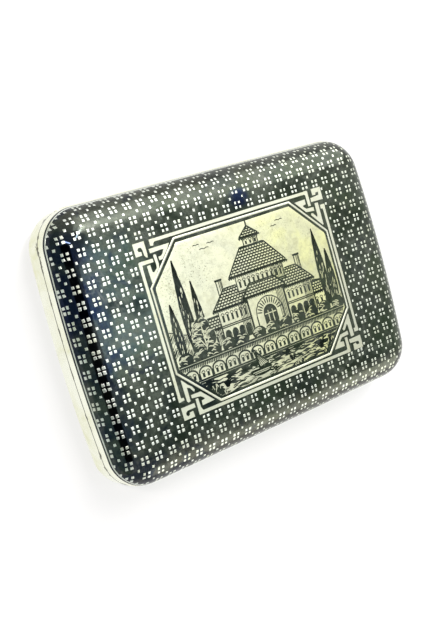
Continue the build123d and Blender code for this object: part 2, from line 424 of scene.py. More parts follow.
class Tree:
    """Adds nodes to a node tree. Numbers, colours and other nodes' outputs are given alike."""

    def __init__(self, data, vector=None):
        self.data, self.vector = data, vector

    def feed(self, value, socket):
        """Links an output to a socket or sets the socket's value; a colour gets its alpha."""
        if isinstance(value, bpy.types.NodeSocket):
            self.data.links.new(value, socket)
        else:
            socket.default_value = (*value, 1) if socket.type == "RGBA" else value

    def put(self, kind, inputs=None, **settings):
        """Adds a node. inputs maps a socket's name or number to what feeds it."""
        node = self.data.nodes.new(kind)
        for name, value in settings.items():
            setattr(node, name, value)
        for name, value in (inputs or {}).items():
            self.feed(value, node.inputs[name])
        return node

    def calc(self, operation, first, second=0.0):
        """One operation on numbers."""
        return self.put("ShaderNodeMath", {0: first, 1: second}, operation=operation).outputs[0]

    def add(self, first, second):
        """A sum."""
        return self.calc("ADD", first, second)

    def minus(self, first, second):
        """A difference."""
        return self.calc("SUBTRACT", first, second)

    def times(self, first, *others):
        """A product."""
        for other in others:
            first = self.calc("MULTIPLY", first, other)
        return first

    def vectors(self, operation, first, second=(0, 0, 0), output=0):
        """One operation on vectors, with a vector or a "Value" as its output."""
        return self.put("ShaderNodeVectorMath", {0: first, 1: second}, operation=operation).outputs[output]

    def mix(self, factor, first, second, mode="MIX"):
        """Two colours mixed."""
        colours = {0: factor, 6: first, 7: second}
        return self.put("ShaderNodeMix", colours, data_type="RGBA", blend_type=mode).outputs[2]

    def ramp(self, value, low, high, to_low=0.0, to_high=1.0):
        """A range of values mapped to another, with soft ends."""
        ends = {0: value, 1: low, 2: high, 3: to_low, 4: to_high}
        return self.put("ShaderNodeMapRange", ends, interpolation_type="SMOOTHSTEP").outputs[0]

    def place(self, axis):
        """The coordinate along X, Y or Z."""
        return self.put("ShaderNodeSeparateXYZ", {0: self.vector}).outputs[axis]

    def noise(self, scale, detail, output="Fac", **more):
        """Layered noise."""
        numbers = {"Vector": self.vector, "Scale": scale, "Detail": detail, **more}
        return self.put("ShaderNodeTexNoise", numbers).outputs[output]

    def shared(self, name, **numbers):
        """A shared effect, with its own numbers here."""
        effect = bpy.data.node_groups.get(name) or EFFECTS[name]()
        return self.put("ShaderNodeGroup", {"Vector": self.vector, **numbers}, node_tree=effect).outputs[0]

    def film(self, scale, cover, softness):
        """The shared cloudy film."""
        return self.shared("cloudy_film", Scale=scale, Cover=cover, Softness=softness)

    def finish(self, sockets, tint, rough, height, depth):
        """Feeds a shader its colour and roughness, and its normal from a height over a depth."""
        relief = self.put("ShaderNodeBump", {"Height": height, "Distance": depth, "Strength": 1.0})
        for name, value in (("Base Color", tint), ("Roughness", rough), ("Normal", relief.outputs[0])):
            self.feed(value, sockets[name])


def new_effect(name, **numbers):
    """A node group from Vector and named numbers to a Mask: its nodes, its inputs and the mask."""
    group = bpy.data.node_groups.new(name, "ShaderNodeTree")
    group.interface.new_socket("Vector", in_out="INPUT", socket_type="NodeSocketVector")
    for number, default in numbers.items():
        socket = group.interface.new_socket(number, in_out="INPUT", socket_type="NodeSocketFloat")
        socket.default_value = default
    group.interface.new_socket("Mask", in_out="OUTPUT", socket_type="NodeSocketFloat")
    given = group.nodes.new("NodeGroupInput").outputs
    return Tree(group, given["Vector"]), given, group.nodes.new("NodeGroupOutput").inputs["Mask"]


def cloudy_film():
    """Film that lies in clouds: layered noise cut at Cover, with edges as soft as Softness."""
    tree, given, mask = new_effect("cloudy_film", Scale=60, Cover=0.5, Softness=0.1)
    noise = tree.noise(given["Scale"], 7, Roughness=0.62, Distortion=0.5)
    low = tree.minus(given["Cover"], given["Softness"])
    tree.feed(tree.ramp(noise, low, tree.add(given["Cover"], given["Softness"])), mask)
    return tree.data


def fine_scratches():
    """Fine scratches: three noises drawn out along different directions, their thin crests kept."""
    tree, given, mask = new_effect("fine_scratches", Scale=900, Width=0.03)
    crests = 0.0
    for turn, stretch in ((0.3, 26), (1.25, 34), (2.3, 22)):
        angles = {"Vector": tree.vector, "Angle": turn}
        turned = tree.put("ShaderNodeVectorRotate", angles, rotation_type="Z_AXIS")
        drawn = tree.put("ShaderNodeMapping", {"Vector": turned.outputs[0], "Scale": (1 / stretch, 1, 1)})
        noise = tree.noise(given["Scale"], 1, Vector=drawn.outputs[0])
        from_middle = tree.calc("ABSOLUTE", tree.minus(noise, 0.5))
        crests = tree.calc("MAXIMUM", crests, tree.ramp(from_middle, 0.0, given["Width"], 1, 0))
    tree.feed(tree.times(crests, tree.ramp(tree.noise(140, 3), 0.48, 0.66)), mask)
    return tree.data


def specks():
    """Small dark specks: cell middles, more of them where a large noise is high."""
    tree, given, mask = new_effect("specks", Scale=1500, Size=0.25, Amount=0.5)
    shift = {0: tree.noise(2500, 2, "Color"), 1: [0.4 * MM] * 3, 2: tree.vector}
    shifted = tree.put("ShaderNodeVectorMath", shift, operation="MULTIPLY_ADD").outputs[0]
    cells = tree.put("ShaderNodeTexVoronoi", {"Vector": shifted, "Scale": given["Scale"]})
    chance = tree.minus(1.0, given["Amount"])
    some = tree.ramp(tree.noise(130, 5, Roughness=0.7), chance, tree.add(chance, 0.12))
    tree.feed(tree.times(tree.ramp(cells.outputs["Distance"], given["Size"], 0.0), some), mask)
    return tree.data


EFFECTS = {"cloudy_film": cloudy_film, "fine_scratches": fine_scratches, "specks": specks}


def new_material(name, metallic=1.0):
    """A material with a plain shader: itself, its tree on Object coordinates, the shader's sockets."""
    material = bpy.data.materials.new(name)
    material.use_nodes = True
    sockets = material.node_tree.nodes["Principled BSDF"].inputs
    sockets["Metallic"].default_value = metallic
    place = material.node_tree.nodes.new("ShaderNodeTexCoord").outputs["Object"]
    return material, Tree(material.node_tree, place), sockets


MATT = 0.45  # how metallic the gilding is
DULL_GILT, DIRT, GRIME = (0.52, 0.39, 0.19), (0.09, 0.085, 0.06), (0.10, 0.095, 0.06)


def metal(name, base, film, polish, scratch, speck=0.0, seam=False, lining=(), duller=1.0, metallic=1.0):
    """Old polished metal: a warm film in clouds, fine scratches, specks and an uneven polish.

    film is the film's colour, cover and scale. seam adds grime along the seam, more at the corners.
    With a lining, the faces that look towards the case's middle have its two colours and are as matt
    as the gilding. duller is the share of the brightness that is left at the case's right end:
    painted shade that darkens the metal towards the right.
    """
    material, tree, sockets = new_material(name, metallic)
    warm, cover, scale = film
    fine = tree.ramp(tree.film(scale * 6, 0.55, 0.2), 0, 1, 0.45, 0.9)
    shade = tree.times(tree.film(scale, cover, 0.16), fine)
    surface = tree.mix(shade, base, warm)
    marks = tree.shared("fine_scratches")
    rough = tree.add(tree.times(marks, 0.12), tree.ramp(shade, 0, 1, polish, polish + 0.16))
    if lining:
        normal = tree.put("ShaderNodeTexCoord").outputs["Normal"]
        outwards = tree.vectors("SUBTRACT", tree.vector, (0, 0, 6 * MM))
        inner = tree.calc("LESS_THAN", tree.vectors("DOT_PRODUCT", outwards, normal, "Value"), 0.0)
        surface = tree.mix(inner, surface, tree.mix(shade, *lining))
        rough = tree.add(rough, tree.times(inner, 0.2))
        tree.feed(tree.ramp(inner, 0, 1, 1, MATT), sockets["Metallic"])
    surface = tree.mix(tree.times(marks, scratch * 0.5), surface, [0.7 * c for c in base])
    if speck:
        surface = tree.mix(tree.times(tree.shared("specks", Amount=speck), 0.8), surface, DIRT)
    if seam:
        away = tree.calc("ABSOLUTE", tree.minus(tree.place("Z"), SEAM_Z))
        corner = (51.5 * MM, 36 * MM, SEAM_Z)
        from_corner = tree.vectors("DISTANCE", tree.vectors("ABSOLUTE", tree.vector), corner, "Value")
        reach = tree.ramp(from_corner, 14 * MM, 3 * MM, 0.35 * MM, 1.6 * MM)
        near = tree.minus(away, tree.times(tree.film(240, 0.57, 0.08), reach))
        surface = tree.mix(tree.ramp(near, 0.05 * MM, 0.3 * MM, 0.85, 0), surface, GRIME)
    # Painted shade: the colour grows darker towards the case's right end
    if duller < 1:
        end = tree.ramp(tree.place("X"), -20 * MM, 50 * MM)
        painted_shade = tree.mix(end, (1, 1, 1), (duller, duller, 0.94 * duller))
        surface = tree.mix(1.0, surface, painted_shade, "MULTIPLY")
    height = tree.minus(tree.times(tree.noise(180, 3), 1.6), marks)
    tree.finish(sockets, surface, rough, height, 0.012 * MM * scratch)
    return material


# Tints of the niello's sheen, by which its own colour is multiplied. The right and left tints and those of
# the long sides are painted reflection colours, the far right corner's a painted shade.
GREEN, BLUE = (0.94, 1.25, 0.78), (0.46, 0.66, 0.66)  # to the right and to the left
CLOUD, PATCH = (0.31, 0.47, 0.29), (0.90, 1.08, 0.82)
PAINTED_NEAR_REFLECTION, PAINTED_FAR_REFLECTION = (0.9, 0.82, 0.62), (0.95, 1.0, 0.72)
DEEP, PAINTED_SHADE_CORNER = (0.10, 0.20, 0.40), (0.55, 0.68, 0.50)  # blotches, and the far right corner
# Colours of its haze and its scratches
HAZE, SCRATCH = (0.060, 0.074, 0.052), (0.16, 0.16, 0.15)
# Stains of the niello, and a navy patch of painted reflection colour at the left end: place in mm, how much
# narrower than a ball each way, reach in mm, tint
STAINS_AND_PAINTED_REFLECTION = (
    # A navy patch at the left end: painted reflection colour
    ((-54.0, 15.0, 19.0), (3.0, 1.0, 1.0), 32.0, (0.08, 0.15, 0.40)),
    ((-43.8, 10.6, 21.0), (0.9, 1.1, 1.0), 3.6, (0.10, 0.17, 0.16)),
    ((-38.0, 8.6, 21.2), (0.75, 1.1, 1.0), 4.2, (0.10, 0.17, 0.16)),
    ((-34.6, 15.0, 21.2), (0.8, 1.1, 1.0), 3.6, (0.12, 0.20, 0.16)),
    ((4.0, 29.6, 21.4), (0.8, 1.0, 1.0), 3.8, (0.15, 0.27, 0.66)),
)
SMALL_STAIN = 6.0  # stains with less reach are free of haze


def niello_material(name, base):
    """Niello: a dark glossy sulphide whose sheen shifts between green, grey and blue in patches.

    It mirrors as little as glass does and scatters hardly any light, so it is a very dark metal here:
    greener to the right, bluer to the left and warmer towards the long sides, all painted reflection
    colours, with darker and lighter clouds over it, deep blue blotches, most of them near the left end,
    a navy patch of painted reflection colour at the left end and painted shade over the far right
    corner. Handling has left dull hazy patches, which are less metallic and so scatter more.
    """
    material, tree, sockets = new_material(name)
    x, y = tree.place("X"), tree.place("Y")
    side = tree.calc("ABSOLUTE", y)
    left, face = tree.ramp(x, 12 * MM, -46 * MM), tree.ramp(x, -50 * MM, -44 * MM)
    patches = tree.film(105, 0.5, 0.13)
    # Painted reflection colours: greener to the right, bluer to the left
    sheen = tree.mix(left, GREEN, BLUE)
    sheen = tree.mix(tree.ramp(tree.film(46, 0.53, 0.13), 0, 1, 0, 0.82), sheen, CLOUD)
    sheen = tree.mix(tree.ramp(patches, 0, 1, 0, 0.75), sheen, PATCH)
    # Painted reflection colours: warmer on the rolls of the long sides
    warm = tree.mix(tree.ramp(y, -5 * MM, 5 * MM), PAINTED_NEAR_REFLECTION, PAINTED_FAR_REFLECTION)
    sheen = tree.mix(tree.ramp(side, 27 * MM, 39 * MM, 0, 0.7), sheen, warm)
    blotches = tree.times(tree.film(84, 0.56, 0.05), tree.add(tree.times(left, 0.5), 0.25))
    sheen = tree.mix(blotches, sheen, DEEP)
    broken = tree.ramp(patches, 0, 1, 1, 0.5)
    haze = tree.times(tree.film(420, 0.54, 0.14), tree.ramp(patches, 0, 1, 0.2, 1), face)
    # Stains, and a navy patch of painted reflection colour at the left end
    for middle, stretch, reach, tint in STAINS_AND_PAINTED_REFLECTION:
        away = tree.vectors("SUBTRACT", tree.vector, [v * MM for v in middle])
        away = tree.vectors("LENGTH", tree.vectors("MULTIPLY", away, stretch), output="Value")
        stain_and_reflection = tree.times(tree.ramp(away, reach * MM, 0.4 * reach * MM), broken)
        sheen = tree.mix(stain_and_reflection, sheen, tint)
        if reach < SMALL_STAIN:
            haze = tree.times(haze, tree.minus(1.0, stain_and_reflection))
    # Painted shade: the sheen is darkened over the far right corner of the face
    corner = tree.times(tree.ramp(x, 12 * MM, 34 * MM, 0, 0.7), tree.ramp(y, 24 * MM, 33 * MM))
    sheen = tree.mix(corner, sheen, PAINTED_SHADE_CORNER)
    sheen = tree.mix(1.0, sheen, tree.ramp(tree.film(1900, 0.5, 0.2), 0, 1, 0.74, 1.22), "MULTIPLY")
    surface = tree.mix(tree.times(haze, 0.5), tree.mix(1.0, sheen, base, "MULTIPLY"), HAZE)
    scatter = tree.add(tree.times(patches, face, 0.12), tree.times(haze, 0.4))
    tree.feed(tree.minus(0.96, scatter), sockets["Metallic"])
    marks = tree.shared("fine_scratches", Scale=1100)
    surface = tree.mix(tree.times(marks, 0.25), surface, SCRATCH)
    worn = tree.times(tree.ramp(side, 26 * MM, 35 * MM, 0, 0.17), face, tree.ramp(x, 40 * MM, 5 * MM))
    rough = tree.add(tree.add(tree.ramp(patches, 0, 1, 0.045, 0.12), tree.times(haze, 0.14)), worn)
    tree.finish(sockets, surface, rough, tree.minus(tree.times(tree.noise(1400, 4), 0.5), marks), 0.003 * MM)
    return material


def panel_silver(name, base):
    """The picture's ground: pale silver with a yellow film, more of it on the right, and tarnish specks."""
    material, tree, sockets = new_material(name)
    x = tree.place("X")
    clouds = tree.film(90, 0.5, 0.2)
    film = tree.times(tree.add(tree.ramp(x, -12 * MM, 24 * MM), 0.25), tree.ramp(clouds, 0, 1, 0.45, 0.95))
    surface = tree.mix(film, base, [c * f for c, f in zip(base, (1.06, 1.06, 0.71))])
    surface = tree.mix(tree.times(tree.film(210, 0.62, 0.09), 0.45), surface, (0.33, 0.32, 0.19))
    surface = tree.mix(tree.times(tree.film(620, 0.56, 0.12), 0.34), surface, (0.31, 0.31, 0.21))
    left = tree.ramp(x, -4 * MM, -26 * MM, 0.55, 1)
    for scale, amount in ((1250, 0.54), (2500, 0.6)):
        dirt = tree.shared("specks", Scale=scale, Size=0.36, Amount=amount)
        surface = tree.mix(tree.times(dirt, left), surface, GRIME)
    marks = tree.shared("fine_scratches", Scale=1200)
    surface = tree.mix(tree.times(marks, 0.2), surface, (0.5, 0.5, 0.36))
    tree.finish(sockets, surface, tree.ramp(clouds, 0, 1, 0.34, 0.46), tree.times(marks, -1.0), 0.003 * MM)
    return material


def made_once(name, make, *numbers, **more):
    """A finish by its name, made at its first use."""
    return bpy.data.materials.get(name) or make(name, *numbers, **more)


def finish_materials():
    """Every finish by its name."""
    look = bpy.context.scene.case_finish
    outside = (look.silver, (look.tarnish, 0.56, 70), 0.24, look.scratches, 0.42, True)
    made = (
        made_once("bright_silver", metal, *outside),
        made_once("lined_silver", metal, *outside, (look.gilt, DULL_GILT)),
        made_once("hinge_silver", metal, look.silver, (look.tarnish, 0.5, 160), 0.3, look.scratches, 0.45),
        # Painted shade darkens the inlay's squares towards the case's right end
        made_once("inlay_silver", metal, look.inlay, ((0.44, 0.46, 0.32), 0.56, 130), 0.3, 0.3, duller=0.92),
        made_once("frame_silver", metal, look.frame, ((0.44, 0.44, 0.3), 0.58, 120), 0.38, 0.3, 0.44),
        made_once("panel_silver", panel_silver, look.panel),
        made_once("niello", niello_material, look.niello),
        made_once("gilt", metal, look.gilt, (DULL_GILT, 0.55, 90), 0.44, 0.4, 0.38, metallic=MATT),
        made_once("spring_strip", metal, look.spring, ((0.2, 0.16, 0.1), 0.5, 200), 0.36, 0.5, 0.4),
    )
    return {material.name: material for material in made}


def settings_of(context):
    """The lid's sizes, the ornament's sizes and the finishes."""
    return context.scene.case_form, context.scene.case_ornament, finish_materials()


def give(names, material):
    """Puts a finish on CAD nodes."""
    for name in names:
        for slot in nodes[name].material_slots:
            slot.material = material


# The picture's strokes, in millimetres on the plan
FLOOR, SILL = -9.4, -9.3  # feet of the house's walls and of its openings
SHORE = 31  # half the width of what runs from side to side
BOTTOM = -24  # below the picture's lower edge
BIRDS = ((-12.5, 18.2, 0.9), (-10.0, 19.4, 0.7), (-14.9, 19.8, 0.6), (15.5, 19.8, 0.8), (13.1, 18.6, 0.6))


class Drawing:
    """Engraved strokes, kept in batches so that nearer things cover farther ones.

    Dark strokes are niello in the silver; light ones are silver left standing in a dark mass.
    """

    def __init__(self, form, ornament, edge):
        self.form, self.ornament, self.edge = form, ornament, edge
        self.batches = []
        self.random = np.random.default_rng(ornament.seed)

    def lines(self, paths, width=1.0, taper=0.0, light=False):
        """Adds strokes of one batch; width counts in burin lines, taper thins both ends."""
        paths = np.asarray(paths, float)
        thin = 1 - taper + taper * np.sin(math.pi * np.linspace(0, 1, paths.shape[1])) ** 0.6
        wide = np.broadcast_to(np.reshape(width, (-1, 1)), paths.shape[:2]) * thin
        self.batches.append([paths, wide, np.ones(paths.shape[:2], bool), light])

    def straight(self, ends, pitch, width=1.0, taper=0.0, light=False):
        """Adds equally long straight strokes between pairs of ends, with a point at every pitch."""
        steps = max(4, int(math.dist(*ends[0]) / pitch))
        self.lines([resample(pair, steps) for pair in ends], width, taper, light)

    def line(self, corners, width=1.0, taper=0.0, light=False):
        """Adds one stroke through corners."""
        run = np.linalg.norm(np.diff(np.asarray(corners, float), axis=0), axis=1).sum()
        self.lines(resample(corners, max(4, int(run / 0.6)))[None], width, taper, light)

    def loop(self, corners, width=1.0):
        """Adds one stroke round an outline."""
        self.line([*corners, corners[0]], width)

    def levels(self, low_x, high_x, ys, width=1.0, light=False):
        """Adds level strokes at several heights."""
        self.straight([[(low_x, y), (high_x, y)] for y in ys], 0.5, width, 0, light)

    def uprights(self, xs, low, high, width=1.0, light=False):
        """Adds upright strokes at several places."""
        self.straight([[(x, low), (x, high)] for x in xs], 0.4, width, 0, light)

    def arches(self, xs, y, rx, ry, width=1.0):
        """Adds half round arches at several places."""
        self.lines([arc(x, y, rx, ry, 0, 180) for x in xs], width)

    def cover(self, corners):
        """Hides what was drawn before inside an outline."""
        for paths, _, keep, _ in self.batches:
            keep &= ~inside(corners, paths[..., 0], paths[..., 1])

    def clip(self, first, corners):
        """Cuts the batches from first on at an outline."""
        for paths, _, keep, _ in self.batches[first:]:
            keep &= inside(corners, paths[..., 0], paths[..., 1])

    def mass(self, corners, width=1.2):
        """A dark mass: what is behind it is hidden, and close strokes fill it up to its outline."""
        corners = np.asarray(corners, float)
        self.cover(corners)
        first = len(self.batches)
        (x0, y0), (x1, y1) = corners.min(0), corners.max(0)
        self.straight([[(x0, y), (x1, y)] for y in np.arange(y0 + 0.1, y1, 0.4)], 0.25, 1.75)
        self.clip(first, corners)
        self.loop(corners, width)

    def finish(self, light):
        """All dark or all light strokes as points and faces, cut at the picture's edge."""
        parts = []
        lift = (2.5 if light else 1.9) * self.ornament.relief
        for paths, wide, keep, is_light in self.batches:
            keep = keep & inside(self.edge, paths[..., 0], paths[..., 1])
            if is_light == light and keep.any():
                parts.append(strokes(paths * MM, wide * self.ornament.burin, keep, lift, self.form))
        return joined(parts)


def arc(x, y, rx, ry, start, end, steps=9):
    """Points on part of an ellipse, angles in degrees."""
    turn = np.radians(np.linspace(start, end, steps))
    return np.stack([x + rx * np.cos(turn), y + ry * np.sin(turn)], -1)


def moved(corners, x, y=0.0, across=1.0, up=1.0):
    """Corners stretched each way and then moved to a place."""
    return [(x + across * u, y + up * v) for u, v in corners]


def draw_hills(pen):
    """A far ridge, a sum of two sines, with slanting strokes on its shaded side."""
    x = np.linspace(-SHORE, SHORE, 90)
    ridge = -0.6 + 2.2 * np.sin(x / 8.5 + 0.8) + 0.8 * np.sin(x / 3.1)
    pen.line(np.column_stack([x, ridge]), 1.2)
    n = 150
    at = np.linspace(-SHORE, SHORE, n) + pen.random.normal(0, 0.1, n)
    top = np.interp(at, x, ridge) - 0.25
    fall = pen.random.uniform(1.6, 3.6, n)[:, None] * np.linspace(0, 1, 5)
    paths = np.stack([at[:, None] - 0.8 * fall, top[:, None] - fall], -1)
    pen.lines(paths, 0.9, 0.6)
    pen.lines(paths + (0.3, -4.0), 1.0, 0.6)


def draw_birds(pen):
    """Birds: two short arcs each."""
    for x, y, size in BIRDS:
        wings = ((x - size, 10, 150), (x + size, 170, 30))
        pen.lines([arc(root, y, size, 0.5 * size, start, end) for root, start, end in wings], 1.0, 0.7)


def draw_roof(pen, outline, pitch=0.98, lean=0.0):
    """A tiled roof: level rows with upright joints between them, shifted by half a tile in every other row.

    The joints lean outwards towards the eaves. The eaves get a thick line with a row of tile ends.
    """
    outline = np.asarray(outline, float)
    pen.cover(outline)
    first = len(pen.batches)
    (x0, y0), (x1, y1) = outline.min(0), outline.max(0)
    step = pitch * 0.8
    rows = np.arange(y0, y1, step)
    pen.levels(x0, x1, rows, 1.45)
    joints = []
    for k, y in enumerate(rows):
        for x in np.arange(x0 - 3 + (k % 2) * pitch / 2, x1 + 3, pitch):
            ends = [(x + (x - (x0 + x1) / 2) * lean * (1 - (v - y0) / (y1 - y0)), v) for v in (y, y + step)]
            joints.append(resample(ends, 3))
    pen.lines(joints, 1.25)
    pen.clip(first, outline)
    pen.loop(outline, 1.7)
    foot = outline[outline[:, 1] < y0 + 0.05, 0]
    pen.levels(foot.min() - 0.35, foot.max() + 0.35, (y0 - 0.3,), 2.0)
    pen.uprights(np.arange(foot.min(), foot.max(), 0.72), y0 - 0.85, y0 - 0.35, 1.3)


def draw_windows(pen, xs, low, high, wide=2.7):
    """Round-headed dark windows: short thick strokes, with a thin arch over each."""
    pen.uprights(xs, low, high, wide)
    pen.arches(xs, high, 0.55, 0.6, 0.9)


def draw_block(pen, x0, x1, low, high, shade):
    """A plain wall: covers what is behind, with its outline and upright shading strokes on the right."""
    corners = [(x0, low), (x0, high), (x1, high), (x1, low)]
    pen.cover(corners)
    pen.uprights(np.arange(x1 - shade * (x1 - x0), x1, 0.5), low, high, 0.85)
    pen.loop(corners, 1.3)


def draw_opening(pen, x, y, rx, ry, steps, width):
    """A dark doorway: a half round arch over two upright sides."""
    pen.mass(np.concatenate([arc(x, y, rx, ry, 0, 180, steps), [(x - rx, SILL), (x + rx, SILL)]]), width)


def draw_wing(pen, middle, side):
    """One side of the garden house: a low outer room and a taller wing with an arcade below."""
    outer, inner = (sorted(middle + side * x for x in xs) for xs in ((17.2, 24.6), (7.0, 17.6)))
    low_roof = ((16.6, -4.3), (16.6, -0.9), (22.4, -0.9), (25.6, -4.3))
    high_roof = ((6.0, 0.5), (6.0, 5.8), (13.6, 5.8), (19.0, 0.5))
    draw_block(pen, *outer, FLOOR, -4.6, 0.35)
    draw_roof(pen, moved(low_roof, middle, across=side)[::side])
    draw_windows(pen, np.linspace(outer[0] + 1.0, outer[1] - 1.0, 4), -8.2, -6.5)
    draw_block(pen, *inner, FLOOR, 0.3, 0.3)
    draw_roof(pen, moved(high_roof, middle, across=side)[::side], lean=0.15)
    draw_windows(pen, np.linspace(inner[0] + 1.3, inner[1] - 1.3, 6), -3.4, -1.4)
    pen.levels(*inner, (-4.4, -4.9), 1.3)
    for x in np.linspace(inner[0] + 1.6, inner[1] - 1.6, 4):
        draw_opening(pen, x, -7.0, 0.95, 1.2, 9, 1.0)


def draw_garden_house(pen, middle):
    """A wide house of three stepped stages, with hipped roofs, a raised hall and a small lantern."""
    for x in (middle - 14.6, middle + 14.6):
        draw_block(pen, x - 0.9, x + 0.9, 2.0, 8.4, 0.5)
        pen.levels(x - 1.3, x + 1.3, (8.6,), 2.2)
    for side in (-1, 1):
        draw_wing(pen, middle, side)
    draw_block(pen, middle - 8.8, middle + 8.8, 3.0, 8.0, 0.25)
    draw_windows(pen, np.linspace(middle - 7.6, middle + 7.6, 10), 4.4, 6.3)
    pen.levels(middle - 8.8, middle + 8.8, (3.5,), 1.6)
    draw_roof(pen, moved(((-10.8, 8.2), (-4.4, 15.6), (4.4, 15.6), (10.8, 8.2)), middle), lean=0.25)
    draw_block(pen, middle - 2.6, middle + 2.6, 15.6, 18.0, 0.3)
    draw_windows(pen, (middle - 1.6, middle, middle + 1.6), 16.0, 17.0, 2.4)
    draw_roof(pen, moved(((-3.6, 18.3), (0, 21.2), (3.6, 18.3)), middle), 0.85, 0.3)
    pen.uprights((middle,), 21.2, 22.6, 1.9)
    draw_block(pen, middle - 6.8, middle + 6.8, FLOOR, 1.0, 0.2)
    draw_roof(pen, moved(((-8.2, 1.2), (-4.8, 4.8), (4.8, 4.8), (8.2, 1.2)), middle), lean=0.2)
    arch = -5.2
    draw_opening(pen, middle, arch, 2.3, 2.3, 13, 1.4)
    rays = [(math.cos(a), math.sin(a)) for a in np.radians(np.linspace(12, 168, 13))]
    pen.lines([resample([(middle + r * u, arch + r * v) for r in (2.9, 4.6)], 4) for u, v in rays], 1.5, 0.3)
    pen.arches((middle,), arch, 5.0, 5.0, 1.3)
    pen.uprights((middle - 5.0, middle + 5.0), SILL, arch, 1.6)
    pen.uprights((middle - 0.8, middle + 0.8), SILL, -4.4, 1.0, True)
    pen.levels(middle - 2.1, middle + 2.1, (-5.3,), 1.0, True)


def draw_cypress(pen, x, low, high, half):
    """A cypress: upright strokes that bulge with a sine towards the foot and meet at the tip."""
    t = np.linspace(0, 1, 18)
    swell = half * np.sin(math.pi * (t * 0.93 + 0.07)) ** 0.75 * (1.12 - 0.55 * t)
    y = low + (high - low) * t
    pen.cover(np.concatenate([np.column_stack([x - swell, y]), np.column_stack([x + swell, y])[::-1]]))
    across = np.linspace(-1, 1, 2 * int(round(half / 0.28)) + 1)
    wave = pen.random.normal(0, 0.05, (len(across), len(t)))
    paths = np.stack([x + across[:, None] * swell + wave, np.broadcast_to(y, wave.shape)], -1)
    pen.lines(paths, pen.random.uniform(1.1, 1.6, len(across)), 0.2)
    n = int(3 * half * (high - low) / 6)
    at = pen.random.uniform(0.06, 0.7, n)
    px = x + pen.random.uniform(-0.6, 0.6, n) * np.interp(at, t, swell)
    rise = np.linspace(0, 1, 4)
    py = low + (high - low) * at
    pen.lines(np.stack([px[:, None] + 0.15 * rise, py[:, None] + 1.3 * rise], -1), 0.9, 0.7, True)
    pen.uprights([x], low - 1.1, low + 0.4, 2.4)


def draw_crown(pen, x, y, rx, ry, leaves):
    """A leafy crown or bush: a dark mass, its radius scalloped by a sine, with curved light strokes."""
    turn = np.linspace(0, 2 * math.pi, 60, endpoint=False)
    wave = 1 + 0.08 * np.abs(np.sin(turn * 4.5 + pen.random.uniform(0, 6)))
    pen.mass(np.column_stack([x + rx * wave * np.cos(turn), y + ry * wave * np.sin(turn)]), 1.3)
    r = np.sqrt(pen.random.uniform(0, 0.75, leaves))[:, None]
    a = pen.random.uniform(0.6, 5.0, leaves)[:, None]
    t = np.linspace(-1, 1, 5)
    size = 0.55 + 0.1 * rx
    slant = pen.random.uniform(-0.5, 0.5, leaves)[:, None]
    px = x + rx * r * np.cos(a) - 0.08 * rx + size * t
    py = y + ry * r * np.sin(a) + 0.08 * ry + 0.3 * size * (1 - t**2) + size * t * slant
    pen.lines(np.stack([px, py], -1), pen.random.uniform(0.8, 1.3, leaves), 0.6, True)


def draw_tree(pen, x, low, high, rx):
    """A broad tree: three leafy crowns over a forked trunk with light veins."""
    tall = high - low
    pen.line([(x, low), (x, low + 0.5 * tall)], 4.0)
    draw_crown(pen, x, low + 0.72 * tall, 0.72 * rx, 0.27 * tall, int(7 * rx))
    for side in (-1, 1):
        draw_crown(pen, x + side * 0.52 * rx, low + 0.45 * tall, 0.55 * rx, 0.24 * tall, int(6 * rx))
        pen.line([(x, low + 0.2 * tall), (x + side * 0.5 * rx, low + 0.5 * tall)], 1.1, 0.4, True)
    pen.line([(x, low + 0.1 * tall), (x, low + 0.8 * tall)], 1.2, 0.4, True)


def draw_shore(pen):
    """A garden wall with a coping, arches and paired openings, and a row of bushes behind it."""
    pen.cover([(-SHORE, FLOOR), (SHORE, FLOOR), (SHORE, BOTTOM), (-SHORE, BOTTOM)])
    for x in np.linspace(-29, 29, 12):
        draw_crown(pen, x + pen.random.normal(0, 0.35), -9.7, 2.2, pen.random.uniform(1.4, 2.1), 9)
    pen.cover([(-SHORE, -10.9), (SHORE, -10.9), (SHORE, BOTTOM), (-SHORE, BOTTOM)])
    pen.levels(-SHORE, SHORE, (-11.0, -11.7), 2.2)
    slants = [resample([(x, -11.8), (x - 0.4, -12.8)], 3) for x in np.arange(-SHORE, SHORE, 0.62)]
    pen.lines(slants, 1.7, 0.3)
    places = np.arange(-27.9, 29, 4.65)
    pen.arches(places, -14.4, 2.0, 1.4, 1.9)
    pen.uprights(np.concatenate([places - 2.1, places + 2.1]), -16.3, -14.4, 1.9)
    draw_windows(pen, np.concatenate([places - 0.8, places + 0.8]), -16.0, -14.7, 3.0)
    pen.levels(-SHORE, SHORE, (-16.6, -17.2), 2.0)


def draw_water(pen):
    """Short level ripples, a sine each, that thin out and get finer away from the wall."""
    n = 270
    deep = pen.random.uniform(0, 1, n) ** 1.25
    x = pen.random.uniform(-30, 30, n)
    run = pen.random.uniform(0.6, 2.6, n)
    t = np.linspace(-1, 1, 7)
    wave = 0.14 * np.sin(3 * t + pen.random.uniform(0, 6, (n, 1)))
    wide = pen.random.uniform(0.9, 2.4, n) * (1.15 - 0.4 * deep)
    pen.lines(np.stack([x[:, None] + run[:, None] * t, -17.5 - 6 * deep[:, None] + wave], -1), wide, 0.8)


def draw_bank(pen, x, half, top):
    """A grassy bank at the picture's foot: a dark hump, a cosine, with light blades on it."""
    at = np.linspace(-1, 1, 21)
    hump = -24.2 + (top + 24.2) * (0.5 + 0.5 * np.cos(math.pi * at)) + 0.25 * np.sin(9 * at)
    pen.mass([*zip(x + half * at, hump), (x + half, -24.6), (x - half, -24.6)])
    n = int(4 * half)
    foot = pen.random.uniform(-0.75, 0.75, n)
    low = np.interp(foot, at, hump) - pen.random.uniform(0.4, 1.6, n)
    t = np.linspace(0, 1, 5)
    bend = pen.random.uniform(-0.7, 0.7, (n, 1))
    pen.lines(np.stack([x + half * foot[:, None] + bend * t**2, low[:, None] + 1.2 * t], -1), 0.9, 0.7, True)


